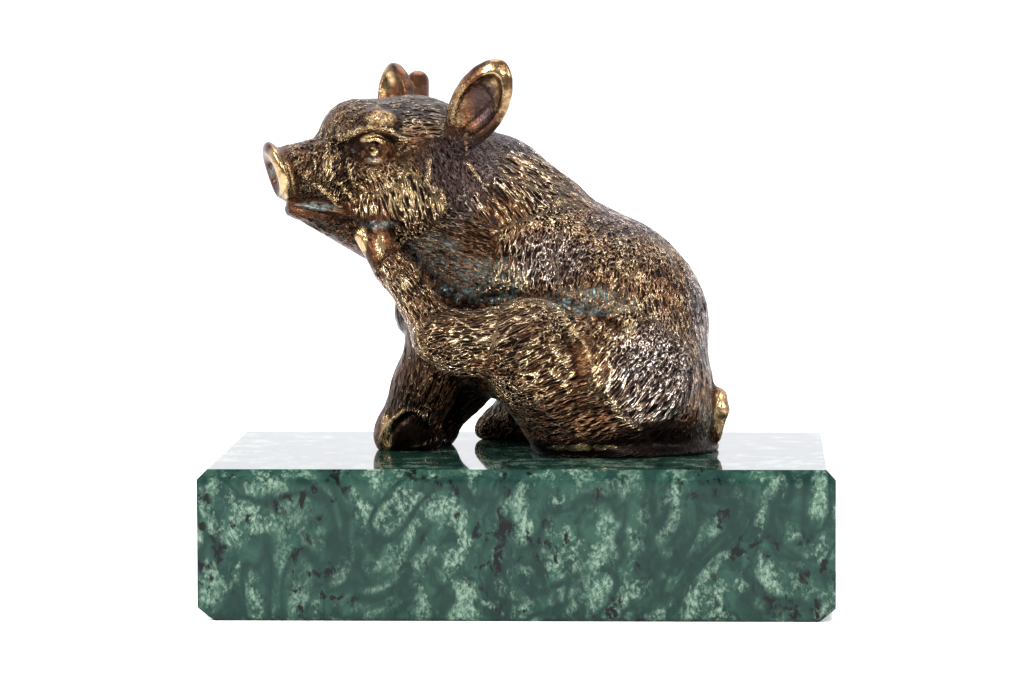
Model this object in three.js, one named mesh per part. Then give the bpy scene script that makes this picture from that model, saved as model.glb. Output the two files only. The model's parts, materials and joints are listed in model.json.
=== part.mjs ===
import * as THREE from "three";

// A small bronze piglet that sits on a block of green marble and scratches its chin with a hind foot.
// Sizes are in mm. The origin is the middle of the marble's underside, +Z is up,
// the piglet's snout points to -X and its left side faces -Y.

// Marble block
const BLOCK_LENGTH = 84;
const BLOCK_DEPTH = 55;
const BLOCK_HEIGHT = 20;
const TOP_BEVEL = 1.25;
const END_BEVEL_WIDTH = 2.2;
const END_BEVEL_HEIGHT = 1.8;
const SIDE_BEVEL = 0.6;

// The bronze is modelled as flesh: rounded lumps that melt into each other.
// Its heights are above the marble's top. Each row of a table is one lump.
// An "egg" has a middle and three half sizes. A "limb" runs from one point to another
// and has a radius at each end. The last number is how far the lump melts into the rest.
const TORSO = [
  ["rump and loin", "egg", [11, 1.7, 16.8], [14.2, 12, 14], 3],
  ["seat", "egg", [12.9, 1.5, 7.5], [13.1, 12.6, 9.2], 3],
  ["rim it sits on", "egg", [13.6, 0.6, 0.4], [12.9, 12.2, 1.7], 0.8],
  ["ribs to withers", "limb", [8.6, 2.2, 20.4], [-5.5, 4, 31], [12.3, 10.2], 3],
  ["shoulder to chest", "limb", [-5, 4, 29], [-8.5, 4.3, 20.5], [10.3, 9], 3],
  ["belly", "egg", [-1.5, 3.5, 14], [9, 9.3, 7.6], 3],
  ["crest of the withers", "limb", [-2.6, 3.2, 38.7], [4.6, 3, 33.8], [3.7, 3.3], 2],
  ["neck", "limb", [-7, 3.6, 33], [-12, 2.4, 37.5], [9.8, 8.8], 3],
  ["breastbone", "limb", [-13.2, 3.2, 20], [-15, 3.6, 18.2], [4, 2.6], 2],
];

// The head has its own directions: forward to the snout, left, and up, from the middle of the skull.
const SKULL_AT = [-15.6, 0.9, 39.6];
const HEAD_TURN = { toLeft: 21, noseUp: 5, leftSideUp: 3 };
const HEAD = [
  ["skull", "egg", [0, 0, 0], [9, 7.9, 8.9], 3],
  ["forehead", "egg", [7.4, 0, 2.8], [5.3, 5.8, 5], 2.5],
  ["muzzle", "limb", [7.5, 0, -1.6], [17.6, 0, -2.9], [5.3, 3.5], 2],
  ["lower jaw", "limb", [5, 0, -8], [15, 0, -7.3], [5.8, 1.9], 1.2],
  ["cheeks", "egg", [-1, 0, -6.6], [8.5, 8.6, 5.6], 3],
  ["throat", "limb", [-3, 0, -7], [-6, 0, -12], [7, 6.5], 3],
];
const FACE_PAIRS = [
  ["eyeball", "egg", [6.3, 4.6, 0.8], [2, 1.8, 1.7], 0.5],
  ["brow, front", "limb", [10.8, 3.7, 2.4], [8, 5.6, 3.8], [0.8, 1.1], 0.9],
  ["brow, back", "limb", [8, 5.6, 3.8], [3.4, 6.8, 2.7], [1.1, 0.8], 0.9],
  ["brow bulge", "egg", [6.4, 5, 5], [2.6, 1.8, 1.6], 1],
];
const FACE_HOLLOWS = [
  ["corner of the eye", "limb", [10.7, 4.9, 1.4], [9, 6, 0.2], [0.8, 0.9], 0.8],
  ["mouth", "limb", [17.6, 1.5, -6.8], [10, 4.2, -7.8], [0.6, 0.7], 0.6],
];
const SNOUT_AT = [18.6, 0, -2.8];
const SNOUT_TURN = { toLeft: 17, noseUp: -19, leftSideUp: 3 };
const SNOUT = ["snout disc", "egg", [0, 0, 0], [1.3, 4.5, 4.2], 0.5];
const SNOUT_HOLLOW = ["hollow of the disc", "egg", [1.5, 0, 0], [1.3, 3.5, 3.2], 0.5];

// Ears: where the root and the tip are, which way the hollow faces, and how wide the leaf is.
const EARS = [
  { root: [-8.2, -6.3, 43.2], tip: [-2.3, -9.2, 53], faces: [-0.35, -0.9, -0.1], width: 0.96 },
  { root: [-17.2, 7.6, 43.2], tip: [-18.9, 12, 52.3], faces: [-0.75, -0.65, 0.2], width: 0.85 },
];
const RIGHT_EAR_RIM = ["back rim", "limb", [-15.4, 9, 44], [-15.2, 12.4, 50], [1.9, 1.6], 0.8];
// At shares of the ear's length: how far the middle lies towards the front rim, and half the width.
const EAR_LEAF = [[-0.06, 0, 2.3], [0.12, 0, 3.2], [0.4, 0, 4.1], [0.68, 0, 3.5], [0.89, 0, 1.7]];
const EAR_HOLLOW = [[0.12, -0.2, 1.6], [0.35, -0.3, 2.6], [0.6, -0.5, 2.4], [0.8, -0.5, 0.9]];
const EAR_FLATNESS = 0.5;
const EAR_HOLLOW_FLATNESS = 0.75;
const EAR_HOLLOW_LIFT = 1.9;
const EAR_BLEND = 0.8;

const FORELEGS = [
  ["left upper foreleg", "limb", [-10.5, -2, 17], [-13.7, 0.3, 8.5], [5, 4], 2.5],
  ["left lower foreleg", "limb", [-13.7, 0.3, 8.5], [-15.8, 0.5, 3.6], [4, 4.1], 2],
  ["left fore hoof", "limb", [-17.4, 0.5, 1.9], [-14.6, 0.5, 1.9], [3.3, 3.3], 1.2],
  ["right upper foreleg", "limb", [-7, 8.2, 16], [-9.2, 8, 8.5], [5.2, 4], 2.5],
  ["right lower foreleg", "limb", [-9.2, 8, 8.5], [-12.2, 8, 3.6], [4, 3.2], 2],
  ["right fore hoof", "limb", [-14.2, 8, 1.6], [-12.8, 8, 1.6], [3, 2.8], 1.5],
];
const LEFT_HINDLEG = [
  ["haunch", "egg", [11.5, -4.6, 10.2], [12.6, 9.2, 11.2], 3],
  ["thigh", "limb", [9, -7.5, 12.5], [1.5, -10.2, 15.4], [7, 5.6], 3],
  ["shank", "limb", [1, -10.5, 15.6], [-8, -11.2, 15.6], [5.3, 4.2], 2],
  ["hock", "limb", [-8.5, -11.2, 15.4], [-11, -11.2, 16.2], [3.8, 3.4], 1.5],
  ["cannon", "limb", [-11, -11, 16.6], [-16, -9.4, 24], [3.1, 2.3], 1.5],
  ["pastern", "limb", [-16, -9.4, 24], [-17.6, -8.9, 25.6], [2.3, 2.4], 1],
  ["outer toe", "limb", [-18.6, -8.6, 26.4], [-21.2, -8, 29.8], [1.9, 1.3], 0.4],
  ["inner toe", "limb", [-17.6, -8.2, 26.8], [-19.2, -7.4, 30.4], [1.8, 1.3], 0.4],
  ["dew claw", "limb", [-14.8, -11.4, 23.2], [-16, -11.6, 24.2], [1.1, 0.8], 0.3],
  ["back of the thigh", "limb", [2.2, -8.7, 11], [6.8, -7.5, 2.5], [6.2, 4.4], 3],
];
const SKIN_FOLDS = [
  ["fold behind the knee", "limb", [6.2, -15.6, 19.4], [9.6, -16.2, 15.6], [0.9, 0.9], 1.6],
  ["end of the fold", "limb", [9.6, -16.2, 15.6], [11.4, -16.4, 10.4], [0.9, 0.7], 1.6],
];
const RIGHT_HINDLEG = [
  ["haunch", "egg", [11.5, 8, 9.4], [12.2, 8.2, 10.4], 3],
  ["thigh", "limb", [10, 11, 10], [3, 12.5, 9.5], [5, 4.6], 3],
  ["shank", "limb", [1.6, 13, 9.5], [-1.6, 14.6, 4], [4.4, 3.4], 2],
  ["foot", "limb", [3, 14.6, 2.8], [-4.6, 15.2, 2.2], [2.8, 2.2], 1.5],
  ["toe", "limb", [-4.6, 15.2, 2], [-6.1, 15.2, 1.5], [2.1, 1.6], 1],
];
const TAIL = [
  ["root", "limb", [24.5, 0, 7.6], [26.3, -0.2, 7.2], [1.1, 1.3], 1],
  ["bend", "limb", [26.3, -0.2, 7.2], [26.7, -0.6, 5.6], [1.3, 1.2], 0.6],
  ["end", "limb", [26.7, -0.6, 5.6], [26.2, -0.9, 2], [1.2, 0.8], 0.6],
];

// The net that catches the surface: runs of lines along each axis, closer together at the head.
const NET_X = [[-37.2, -1, 1.15], [-1, 30, 2.3]];
const NET_Y = [[-18.5, 21, 1.4]];
const NET_Z = [[-1.5, 0, 1.5], [0, 31, 2], [31, 56, 1.1]];
const OPEN_AIR = 4;
const REACH = 2.5;

const BRONZE = new THREE.MeshStandardMaterial({ color: 0x6b4d2c, roughness: 0.42, metalness: 1 });
const MARBLE = new THREE.MeshStandardMaterial({ color: 0x3f6f5c, roughness: 0.18, metalness: 0 });

const add = (a, b) => a.map((v, i) => v + b[i]);
const minus = (a, b) => a.map((v, i) => v - b[i]);
const times = (a, s) => a.map((v) => v * s);
const dot = (a, b) => a[0] * b[0] + a[1] * b[1] + a[2] * b[2];
const cross = (a, b) => [
  a[1] * b[2] - a[2] * b[1],
  a[2] * b[0] - a[0] * b[2],
  a[0] * b[1] - a[1] * b[0],
];
const unit = (a) => times(a, 1 / Math.hypot(...a));

// The forward, left and up directions of something that faces -X before it is turned.
function turned({ toLeft, noseUp, leftSideUp }) {
  const [a, b, c] = [toLeft, noseUp, leftSideUp].map(THREE.MathUtils.degToRad);
  const forward = [-Math.cos(a) * Math.cos(b), -Math.sin(a) * Math.cos(b), Math.sin(b)];
  const left = [Math.sin(a), -Math.cos(a), 0];
  const up = cross(forward, left);
  return [
    forward,
    add(times(left, Math.cos(c)), times(up, Math.sin(c))),
    add(times(left, -Math.sin(c)), times(up, Math.cos(c))),
  ];
}

// A frame of its own: `place` takes a point of the frame to the figure.
function frameAt(at, axes) {
  const place = (p) => p.reduce((sum, v, i) => add(sum, times(axes[i], v)), at);
  return { axes, place };
}

const FIGURE = frameAt([0, 0, 0], [[1, 0, 0], [0, 1, 0], [0, 0, 1]]);

function linesOf(runs) {
  const lines = [runs[0][0]];
  for (const [start, end, step] of runs) {
    const count = Math.max(1, Math.round((end - start) / step));
    for (let i = 1; i <= count; i++) lines.push(start + ((end - start) * i) / count);
  }
  return lines;
}

// How far each crossing of the net lies outside the flesh; below 0 is inside.
function openNet() {
  const lines = [NET_X, NET_Y, NET_Z].map(linesOf);
  const [nx, ny, nz] = lines.map((l) => l.length);
  const depth = new Float64Array(nx * ny * nz).fill(OPEN_AIR);
  return { lines, nx, ny, nz, depth };
}

// Calls `change` for each crossing between two corners of a box.
function eachCrossing(net, low, high, change) {
  const range = net.lines.map((l, a) => [
    l.findIndex((v) => v >= low[a]),
    l.findLastIndex((v) => v <= high[a]),
  ]);
  for (let i = range[0][0]; i <= range[0][1]; i++)
    for (let j = range[1][0]; j <= range[1][1]; j++)
      for (let k = range[2][0]; k <= range[2][1]; k++) {
        const point = [net.lines[0][i], net.lines[1][j], net.lines[2][k]];
        change((i * net.ny + j) * net.nz + k, point);
      }
}

function melt(a, b, blend) {
  const h = Math.max(blend - Math.abs(a - b), 0) / blend;
  return Math.min(a, b) - (h * h * blend) / 4;
}
const carve = (a, b, blend) => -melt(-a, b, blend);

function eggShape(at, half, frame) {
  const centre = frame.place(at);
  const spread = [0, 1, 2].map((a) => Math.hypot(...half.map((h, i) => h * frame.axes[i][a])));
  const distance = (p) => {
    const q = frame.axes.map((axis) => dot(minus(p, centre), axis));
    const k0 = Math.hypot(...q.map((v, i) => v / half[i]));
    const k1 = Math.hypot(...q.map((v, i) => v / half[i] ** 2));
    return k0 < 0.02 ? -Math.min(...half) : (k0 * (k0 - 1)) / k1;
  };
  return { low: minus(centre, spread), high: add(centre, spread), distance };
}

// `squeeze` flattens the section: [direction, share of the full thickness].
function limbShape(from, to, radii, frame, squeeze) {
  const [a, b] = [frame.place(from), frame.place(to)];
  const run = minus(b, a);
  const most = Math.max(...radii);
  const spread = [most, most, most];
  const distance = (p) => {
    const q = minus(p, a);
    const t = Math.min(Math.max(dot(q, run) / dot(run, run), 0), 1);
    const off = minus(q, times(run, t));
    const radius = radii[0] + (radii[1] - radii[0]) * t;
    const length = Math.hypot(...off);
    if (!squeeze) return length - radius;
    const across = dot(off, squeeze[0]);
    const k = Math.sqrt(length ** 2 + (1 / squeeze[1] ** 2 - 1) * across ** 2) / radius;
    return k < 0.05 ? -radius * squeeze[1] : length * (1 - 1 / k);
  };
  const low = minus(a.map((v, i) => Math.min(v, b[i])), spread);
  const high = add(a.map((v, i) => Math.max(v, b[i])), spread);
  return { low, high, distance };
}

function apply(net, shape, blend, mix) {
  const reach = [blend + REACH, blend + REACH, blend + REACH];
  eachCrossing(net, minus(shape.low, reach), add(shape.high, reach), (n, p) => {
    net.depth[n] = mix(net.depth[n], shape.distance(p), blend);
  });
}

function addRows(net, rows, frame, mix = melt) {
  for (const row of rows) {
    const blend = row[row.length - 1];
    const shape =
      row[1] === "egg"
        ? eggShape(row[2], row[3], frame)
        : limbShape(row[2], row[3], row[4], frame);
    apply(net, shape, blend, mix);
  }
}

const otherSide = (row) =>
  row.map((v) => (Array.isArray(v) && v.length === 3 ? [v[0], -v[1], v[2]] : v));
const mirrorRow = (row) =>
  row[1] === "egg" ? [row[0], row[1], otherSide([row[2]])[0], row[3], row[4]] : otherSide(row);

function addHead(net) {
  const head = frameAt(SKULL_AT, turned(HEAD_TURN));
  addRows(net, HEAD, head);
  for (const side of [(row) => row, mirrorRow]) {
    addRows(net, FACE_PAIRS.map(side), head);
    addRows(net, FACE_HOLLOWS.map(side), head, carve);
  }
  const disc = frameAt(head.place(SNOUT_AT), turned(SNOUT_TURN));
  addRows(net, [SNOUT], disc);
  addRows(net, [SNOUT_HOLLOW], disc, carve);
}

function addEar(net, { root, tip, faces, width }) {
  const span = minus(tip, root);
  const along = unit(span);
  const out = unit(minus(faces, times(along, dot(faces, along))));
  const across = cross(out, along);
  const at = (share, side, lift) =>
    add(add(root, times(span, share)), add(times(across, side), times(out, lift)));
  const ear = { ...net, depth: new Float64Array(net.depth.length).fill(OPEN_AIR) };
  const stations = (rows, lift, flatness, blend, mix) => {
    for (let i = 1; i < rows.length; i++) {
      const [[s0, side0, r0], [s1, side1, r1]] = [rows[i - 1], rows[i]];
      const ends = [at(s0, side0, lift), at(s1, side1, lift)];
      const shape = limbShape(...ends, [r0 * width, r1 * width], FIGURE, [out, flatness]);
      apply(ear, shape, blend, mix);
    }
  };
  stations(EAR_LEAF, 0, EAR_FLATNESS, 0.3, melt);
  stations(EAR_HOLLOW, EAR_HOLLOW_LIFT, EAR_HOLLOW_FLATNESS, 0.4, carve);
  for (let n = 0; n < net.depth.length; n++)
    net.depth[n] = melt(net.depth[n], ear.depth[n], EAR_BLEND);
}

function piglet() {
  const net = openNet();
  addRows(net, TORSO, FIGURE);
  addHead(net);
  for (const ear of EARS) addEar(net, ear);
  addRows(net, [RIGHT_EAR_RIM], FIGURE);
  addRows(net, FORELEGS, FIGURE);
  addRows(net, LEFT_HINDLEG, FIGURE);
  addRows(net, SKIN_FOLDS, FIGURE, carve);
  addRows(net, RIGHT_HINDLEG, FIGURE);
  addRows(net, TAIL, FIGURE);
  cutFlatBelow(net);
  return catchSurface(net);
}

// The figure stands flat on the marble, so nothing is left below height 0.
function cutFlatBelow(net) {
  const low = net.lines.map((l) => l[0]);
  const high = net.lines.map((l) => l[l.length - 1]);
  eachCrossing(net, low, high, (n, p) => {
    net.depth[n] = Math.max(net.depth[n], -p[2]);
  });
}

// The twelve edges of a cell of the net as [corner, corner, axis]; corner bits are x, y, z.
const EDGES = [0, 1, 2].flatMap((axis) =>
  [0, 1, 2, 3, 4, 5, 6, 7]
    .filter((c) => !((c >> axis) & 1))
    .map((c) => [c, c | (1 << axis), axis]),
);
const edgeBetween = (p, q) =>
  EDGES.findIndex(([a, b]) => a === Math.min(p, q) && b === Math.max(p, q));
const FACES = [0, 1, 2].flatMap((axis) => {
  const [b, c] = [0, 1, 2].filter((v) => v !== axis);
  return [0, 1].map((side) => {
    const o = side << axis;
    return [o, o | (1 << b), o | (1 << b) | (1 << c), o | (1 << c)];
  });
});

// Sorts the crossed edges of a cell into the sheets of surface that pass through it.
function sheetsOf(mask) {
  const inside = (corner) => (mask >> corner) & 1;
  const parent = EDGES.map((_, i) => i);
  const rootOf = (i) => (parent[i] === i ? i : rootOf(parent[i]));
  for (const face of FACES) {
    const edges = face.map((c, i) => edgeBetween(c, face[(i + 1) % 4]));
    const crossed = edges.filter((_, i) => inside(face[i]) !== inside(face[(i + 1) % 4]));
    if (crossed.length === 2) parent[rootOf(crossed[0])] = rootOf(crossed[1]);
    if (crossed.length === 4)
      face.forEach((c, i) => {
        if (inside(c)) parent[rootOf(edges[(i + 3) % 4])] = rootOf(edges[i]);
      });
  }
  const roots = [];
  const sheet = EDGES.map(([a, b], i) => {
    if (inside(a) === inside(b)) return -1;
    if (!roots.includes(rootOf(i))) roots.push(rootOf(i));
    return roots.indexOf(rootOf(i));
  });
  return { sheet, count: roots.length };
}
const SHEETS = Array.from({ length: 256 }, (_, mask) => sheetsOf(mask));

// One vertex for each sheet in each cell, and a four-sided face round each crossed line of the net.
function catchSurface(net) {
  const { lines, nx, ny, nz, depth } = net;
  const at = (i, j, k) => (i * ny + j) * nz + k;
  const corner = (cell, c) => [cell[0] + (c & 1), cell[1] + ((c >> 1) & 1), cell[2] + ((c >> 2) & 1)];
  const masks = new Uint8Array(nx * ny * nz);
  const first = new Int32Array(nx * ny * nz).fill(-1);
  const points = [];
  for (let i = 0; i < nx - 1; i++)
    for (let j = 0; j < ny - 1; j++)
      for (let k = 0; k < nz - 1; k++) {
        let mask = 0;
        for (let c = 0; c < 8; c++)
          if (depth[at(...corner([i, j, k], c))] < 0) mask |= 1 << c;
        masks[at(i, j, k)] = mask;
        if (mask === 0 || mask === 255) continue;
        first[at(i, j, k)] = points.length;
        points.push(...sheetPoints(net, [i, j, k], SHEETS[mask], corner, at));
      }
  const triangles = [];
  for (let axis = 0; axis < 3; axis++) {
    const [b, c] = [(axis + 1) % 3, (axis + 2) % 3];
    for (let i = 0; i < nx; i++)
      for (let j = 0; j < ny; j++)
        for (let k = 0; k < nz; k++) {
          const here = [i, j, k];
          const next = [...here];
          next[axis] += 1;
          if (next[axis] >= lines[axis].length) continue;
          const inside = depth[at(...here)] < 0;
          if (inside === depth[at(...next)] < 0) continue;
          const around = [[1, 1], [0, 1], [0, 0], [1, 0]].map(([db, dc]) => {
            const cell = [...here];
            cell[b] -= db;
            cell[c] -= dc;
            const low = (db << b) | (dc << c);
            const edge = edgeBetween(low, low | (1 << axis));
            return first[at(...cell)] + SHEETS[masks[at(...cell)]].sheet[edge];
          });
          if (!inside) around.reverse();
          triangles.push(...splitFace(points, around));
        }
  }
  return meshOf("piglet", points.map((p) => [p[0], p[1], p[2] + BLOCK_HEIGHT]), triangles, BRONZE);
}

function sheetPoints({ lines, depth }, cell, { sheet, count }, corner, at) {
  const sums = Array.from({ length: count }, () => [0, 0, 0, 0]);
  EDGES.forEach(([p, q, axis], e) => {
    if (sheet[e] < 0) return;
    const [a, b] = [corner(cell, p), corner(cell, q)];
    const [da, db] = [depth[at(...a)], depth[at(...b)]];
    const point = a.map((n, i) => lines[i][n]);
    point[axis] += (da / (da - db)) * (lines[axis][b[axis]] - lines[axis][a[axis]]);
    const sum = sums[sheet[e]];
    point.forEach((v, i) => (sum[i] += v));
    sum[3] += 1;
  });
  return sums.map(([x, y, z, n]) => [x / n, y / n, z / n]);
}

// A four-sided face is split along its shorter diagonal.
function splitFace(points, [a, b, c, d]) {
  const apart = (p, q) => Math.hypot(...minus(points[p], points[q]));
  if (apart(a, c) <= apart(b, d)) return [a, b, c, a, c, d];
  return [a, b, d, b, c, d];
}

function meshOf(name, points, triangles, material) {
  const geometry = new THREE.BufferGeometry();
  geometry.setAttribute("position", new THREE.Float32BufferAttribute(points.flat(), 3));
  geometry.setIndex(triangles);
  geometry.computeVertexNormals();
  const mesh = new THREE.Mesh(geometry, material);
  mesh.name = name;
  return mesh;
}

// The block is a stack of rectangles; the bevels come from rectangles of different size.
function plinth() {
  const [x, y] = [BLOCK_LENGTH / 2, BLOCK_DEPTH / 2];
  const share = SIDE_BEVEL / END_BEVEL_HEIGHT;
  const rings = [
    [x - END_BEVEL_WIDTH, y - SIDE_BEVEL, 0],
    [x - END_BEVEL_WIDTH * (1 - share), y, SIDE_BEVEL],
    [x, y, END_BEVEL_HEIGHT],
    [x, y, BLOCK_HEIGHT - TOP_BEVEL],
    [x - TOP_BEVEL, y - TOP_BEVEL, BLOCK_HEIGHT],
  ];
  const points = rings.flatMap(([hx, hy, z]) => [[-hx, -hy, z], [hx, -hy, z], [hx, hy, z], [-hx, hy, z]]);
  const triangles = [0, 2, 1, 0, 3, 2];
  for (let ring = 0; ring < rings.length - 1; ring++)
    for (let side = 0; side < 4; side++) {
      const [a, b] = [ring * 4 + side, ring * 4 + ((side + 1) % 4)];
      triangles.push(a, b, b + 4, a, b + 4, a + 4);
    }
  const top = (rings.length - 1) * 4;
  triangles.push(top, top + 1, top + 2, top, top + 2, top + 3);
  return meshOf("plinth", points, triangles, MARBLE);
}

const sculpture = new THREE.Group();
sculpture.name = "piglet_on_plinth";
sculpture.add(plinth(), piglet());

export default sculpture;
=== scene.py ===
"""A bronze piglet that scratches its chin with a hind foot, on a block of green marble."""

import json

import bpy
import numpy as np
from mathutils import Matrix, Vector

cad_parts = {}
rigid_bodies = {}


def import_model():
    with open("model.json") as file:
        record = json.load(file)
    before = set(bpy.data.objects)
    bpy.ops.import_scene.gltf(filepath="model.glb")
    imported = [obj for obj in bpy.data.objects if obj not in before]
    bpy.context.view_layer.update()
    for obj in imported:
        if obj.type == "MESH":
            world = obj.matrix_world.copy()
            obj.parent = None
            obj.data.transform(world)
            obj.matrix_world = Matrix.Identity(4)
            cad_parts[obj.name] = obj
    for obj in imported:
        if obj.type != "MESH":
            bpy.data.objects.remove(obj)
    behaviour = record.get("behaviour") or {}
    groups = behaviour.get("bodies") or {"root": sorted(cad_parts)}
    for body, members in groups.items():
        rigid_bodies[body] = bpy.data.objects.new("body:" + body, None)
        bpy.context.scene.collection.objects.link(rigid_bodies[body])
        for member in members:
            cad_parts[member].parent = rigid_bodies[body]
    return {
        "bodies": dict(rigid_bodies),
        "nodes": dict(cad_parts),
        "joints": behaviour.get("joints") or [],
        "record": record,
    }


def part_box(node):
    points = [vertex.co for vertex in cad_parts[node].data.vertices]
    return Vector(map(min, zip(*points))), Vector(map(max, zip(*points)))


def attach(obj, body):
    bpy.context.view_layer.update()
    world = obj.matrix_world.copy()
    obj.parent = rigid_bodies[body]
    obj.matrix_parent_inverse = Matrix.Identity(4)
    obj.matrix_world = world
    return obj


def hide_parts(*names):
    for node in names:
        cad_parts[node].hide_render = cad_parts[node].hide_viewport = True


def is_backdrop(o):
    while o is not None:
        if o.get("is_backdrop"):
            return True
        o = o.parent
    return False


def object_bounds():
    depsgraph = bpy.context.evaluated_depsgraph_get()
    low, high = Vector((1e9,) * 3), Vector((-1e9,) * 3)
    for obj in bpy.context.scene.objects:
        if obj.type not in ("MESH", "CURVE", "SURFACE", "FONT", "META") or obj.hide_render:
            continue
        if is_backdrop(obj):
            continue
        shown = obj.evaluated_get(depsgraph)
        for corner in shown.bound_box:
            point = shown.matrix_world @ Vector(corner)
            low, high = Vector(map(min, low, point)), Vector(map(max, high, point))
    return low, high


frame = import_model()
BOUNDS_AT_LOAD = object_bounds()

MM = 0.001
# Height of the marble's top in mm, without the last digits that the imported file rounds.
STONE_TOP = round(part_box("plinth")[1].z / MM, 3)

# Sizes of the figure, in mm. Heights are above the marble's top, the snout points to -X
# and the left side faces -Y. Each row of a table is one rounded lump of flesh.
# An "egg" has a middle and three half sizes. A "limb" runs from one point to another and has
# a radius at each end. The last number is how far the lump melts into the rest.
TORSO = [
    ["rump and loin", "egg", [11, 1.7, 16.8], [14.2, 12, 14], 3],
    ["seat", "egg", [12.9, 1.5, 7.5], [13.1, 12.6, 9.2], 3],
    ["rim it sits on", "egg", [13.6, 0.6, 0.4], [12.9, 12.2, 1.7], 0.8],
    ["foot of the rump", "egg", [19.8, 0.6, 4], [6, 8.6, 6.4], 2],
    ["ribs to withers", "limb", [8.6, 2.2, 20.4], [-5.5, 4, 31], [12.3, 10.2], 3],
    ["shoulder to chest", "limb", [-5, 4, 29], [-8.5, 4.3, 20.5], [10.3, 9], 3],
    ["belly", "egg", [-1.5, 3.5, 14], [9, 9.3, 7.6], 3],
    ["crest of the withers", "limb", [-2.6, 3.2, 38.7], [4.6, 3, 33.8], [3.7, 3.3], 2],
    ["neck", "limb", [-7, 3.6, 33], [-12, 2.4, 37.5], [9.8, 8.8], 3],
    ["breastbone", "limb", [-13.2, 3.2, 20], [-15, 3.6, 18.2], [4, 2.6], 2],
]

# The head has its own directions: forward to the snout, left, and up, from the middle of the skull.
# A turn is in degrees: to the left, nose up, and left side up.
SKULL_AT = [-15.6, 0.9, 39.6]
HEAD_TURN = (21, 5, 3)
HEAD = [
    ["skull", "egg", [0, 0, 0], [9, 7.9, 8.9], 3],
    ["forehead", "egg", [7.4, 0, 2.8], [5.3, 5.8, 5], 2.5],
    ["muzzle", "limb", [7.5, 0, -1.6], [17.6, 0, -2.9], [5.3, 3.5], 2],
    ["lower jaw", "limb", [5, 0, -8], [15, 0, -7.3], [5.8, 1.9], 1.2],
    ["cheeks", "egg", [-1, 0, -6.6], [8.5, 8.6, 5.6], 3],
    ["throat", "limb", [-3, 0, -7], [-6, 0, -12], [7, 6.5], 3],
]
FACE_PAIRS = [
    ["brow, front", "limb", [11, 3.9, 2.1], [9, 5.6, 3.3], [0.5, 0.6], 0.7],
    ["brow, top", "limb", [9, 5.6, 3.3], [6.4, 6.7, 3.8], [0.6, 0.65], 0.7],
    ["brow, back", "limb", [6.4, 6.7, 3.8], [3.2, 7.1, 2.5], [0.65, 0.5], 0.7],
    ["brow bulge", "egg", [6.3, 5.2, 5], [2.6, 1.7, 1.5], 1],
    ["pouch under the eye", "egg", [7.4, 4.9, -2.4], [2.6, 1.2, 1], 0.9],
    ["cheek", "egg", [2.6, 4.6, -3.6], [4, 3.6, 3.4], 1.6],
    ["fold over the muzzle", "limb", [13, 2.4, 0.6], [12.6, 3.4, -3.6], [0.9, 0.9], 1],
    ["upper lip", "limb", [12.8, 2.6, -5.1], [10, 3.5, -7], [0.7, 0.5], 0.7],
    ["lower lip", "limb", [16.2, 0.7, -7.9], [10.6, 3, -8.8], [0.7, 0.7], 0.7],
]
FACE_HOLLOWS = [
    ["eye socket", "egg", [7.2, 6.8, 0.9], [2.8, 1.9, 2], 0.8],
    ["corner of the eye", "limb", [10.8, 4.9, 1.2], [9, 6, 0.2], [0.8, 0.9], 0.7],
    ["under the brow", "limb", [8.4, 6.3, 2.4], [3.6, 7.5, 2], [0.35, 0.35], 0.5],
    ["mouth", "limb", [17.4, 1.2, -6.8], [10.4, 3.9, -7.7], [0.55, 0.65], 0.3],
    ["corner of the mouth", "limb", [10.4, 3.9, -7.7], [9.7, 4.1, -8.5], [0.5, 0.4], 0.3],
    ["behind the fold", "limb", [11.9, 3.1, 1.2], [11.8, 4.1, -2.2], [0.25, 0.25], 0.5],
]
# Eyelids run round the eyeball from its front corner to its back corner. Angles are in degrees.
# The pupil is a raised ring inside a groove, with a hole in its middle.
EYEBALL = ["eyeball", "egg", [6.3, 4.4, 0.8], [1.8, 1.75, 1.7], 0.1]
EYE_LOOKS = [0.42, 0.9, 0.05]
LID_RADIUS = 1.95
LID_THICKNESS = 0.42
LID_CORNERS = 64
UPPER_LID_RISE = 50
LOWER_LID_DROP = 42
LID_LENGTHS = 6
LID_BLEND = 0.15
PUPIL_ANGLES = (-4, -13)
PUPIL_RING = 0.56
PUPIL_HOLE = 0.36
PUPIL_HOLE_LIFT = 0.5
PUPIL_GROOVE = 0.12
PUPIL_BLEND = 0.1
PUPIL_HOLE_BLEND = 0.05
SNOUT_AT = [18.6, 0, -2.8]
SNOUT_TURN = (17, -19, 3)
SNOUT = ["snout disc", "egg", [0, 0, 0], [1.3, 4.5, 4.2], 0.5]
SNOUT_HOLLOWS = [
    ["hollow of the disc", "egg", [1.5, 0, 0], [1.3, 3.5, 3.2], 0.5],
    ["left nostril", "limb", [0.5, 1.5, 0.9], [0.5, 1.7, -0.9], [0.6, 0.6], 0.3],
    ["right nostril", "limb", [0.5, -1.5, 0.9], [0.5, -1.7, -0.9], [0.6, 0.6], 0.3],
]

# Ears: where the root and the tip are, and which way the hollow faces.
EARS = [
    {"root": [-8.2, -6.3, 43.2], "tip": [-2.3, -9.2, 53], "faces": [-0.35, -0.9, -0.1], "width": 0.96},
    {"root": [-17.2, 7.6, 43.2], "tip": [-18.9, 12, 52.3], "faces": [-0.75, -0.65, 0.2], "width": 0.85},
]
RIGHT_EAR_RIM = ["back rim", "limb", [-15.4, 9, 44], [-15.2, 12.4, 50], [1.9, 1.6], 0.8]
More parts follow.
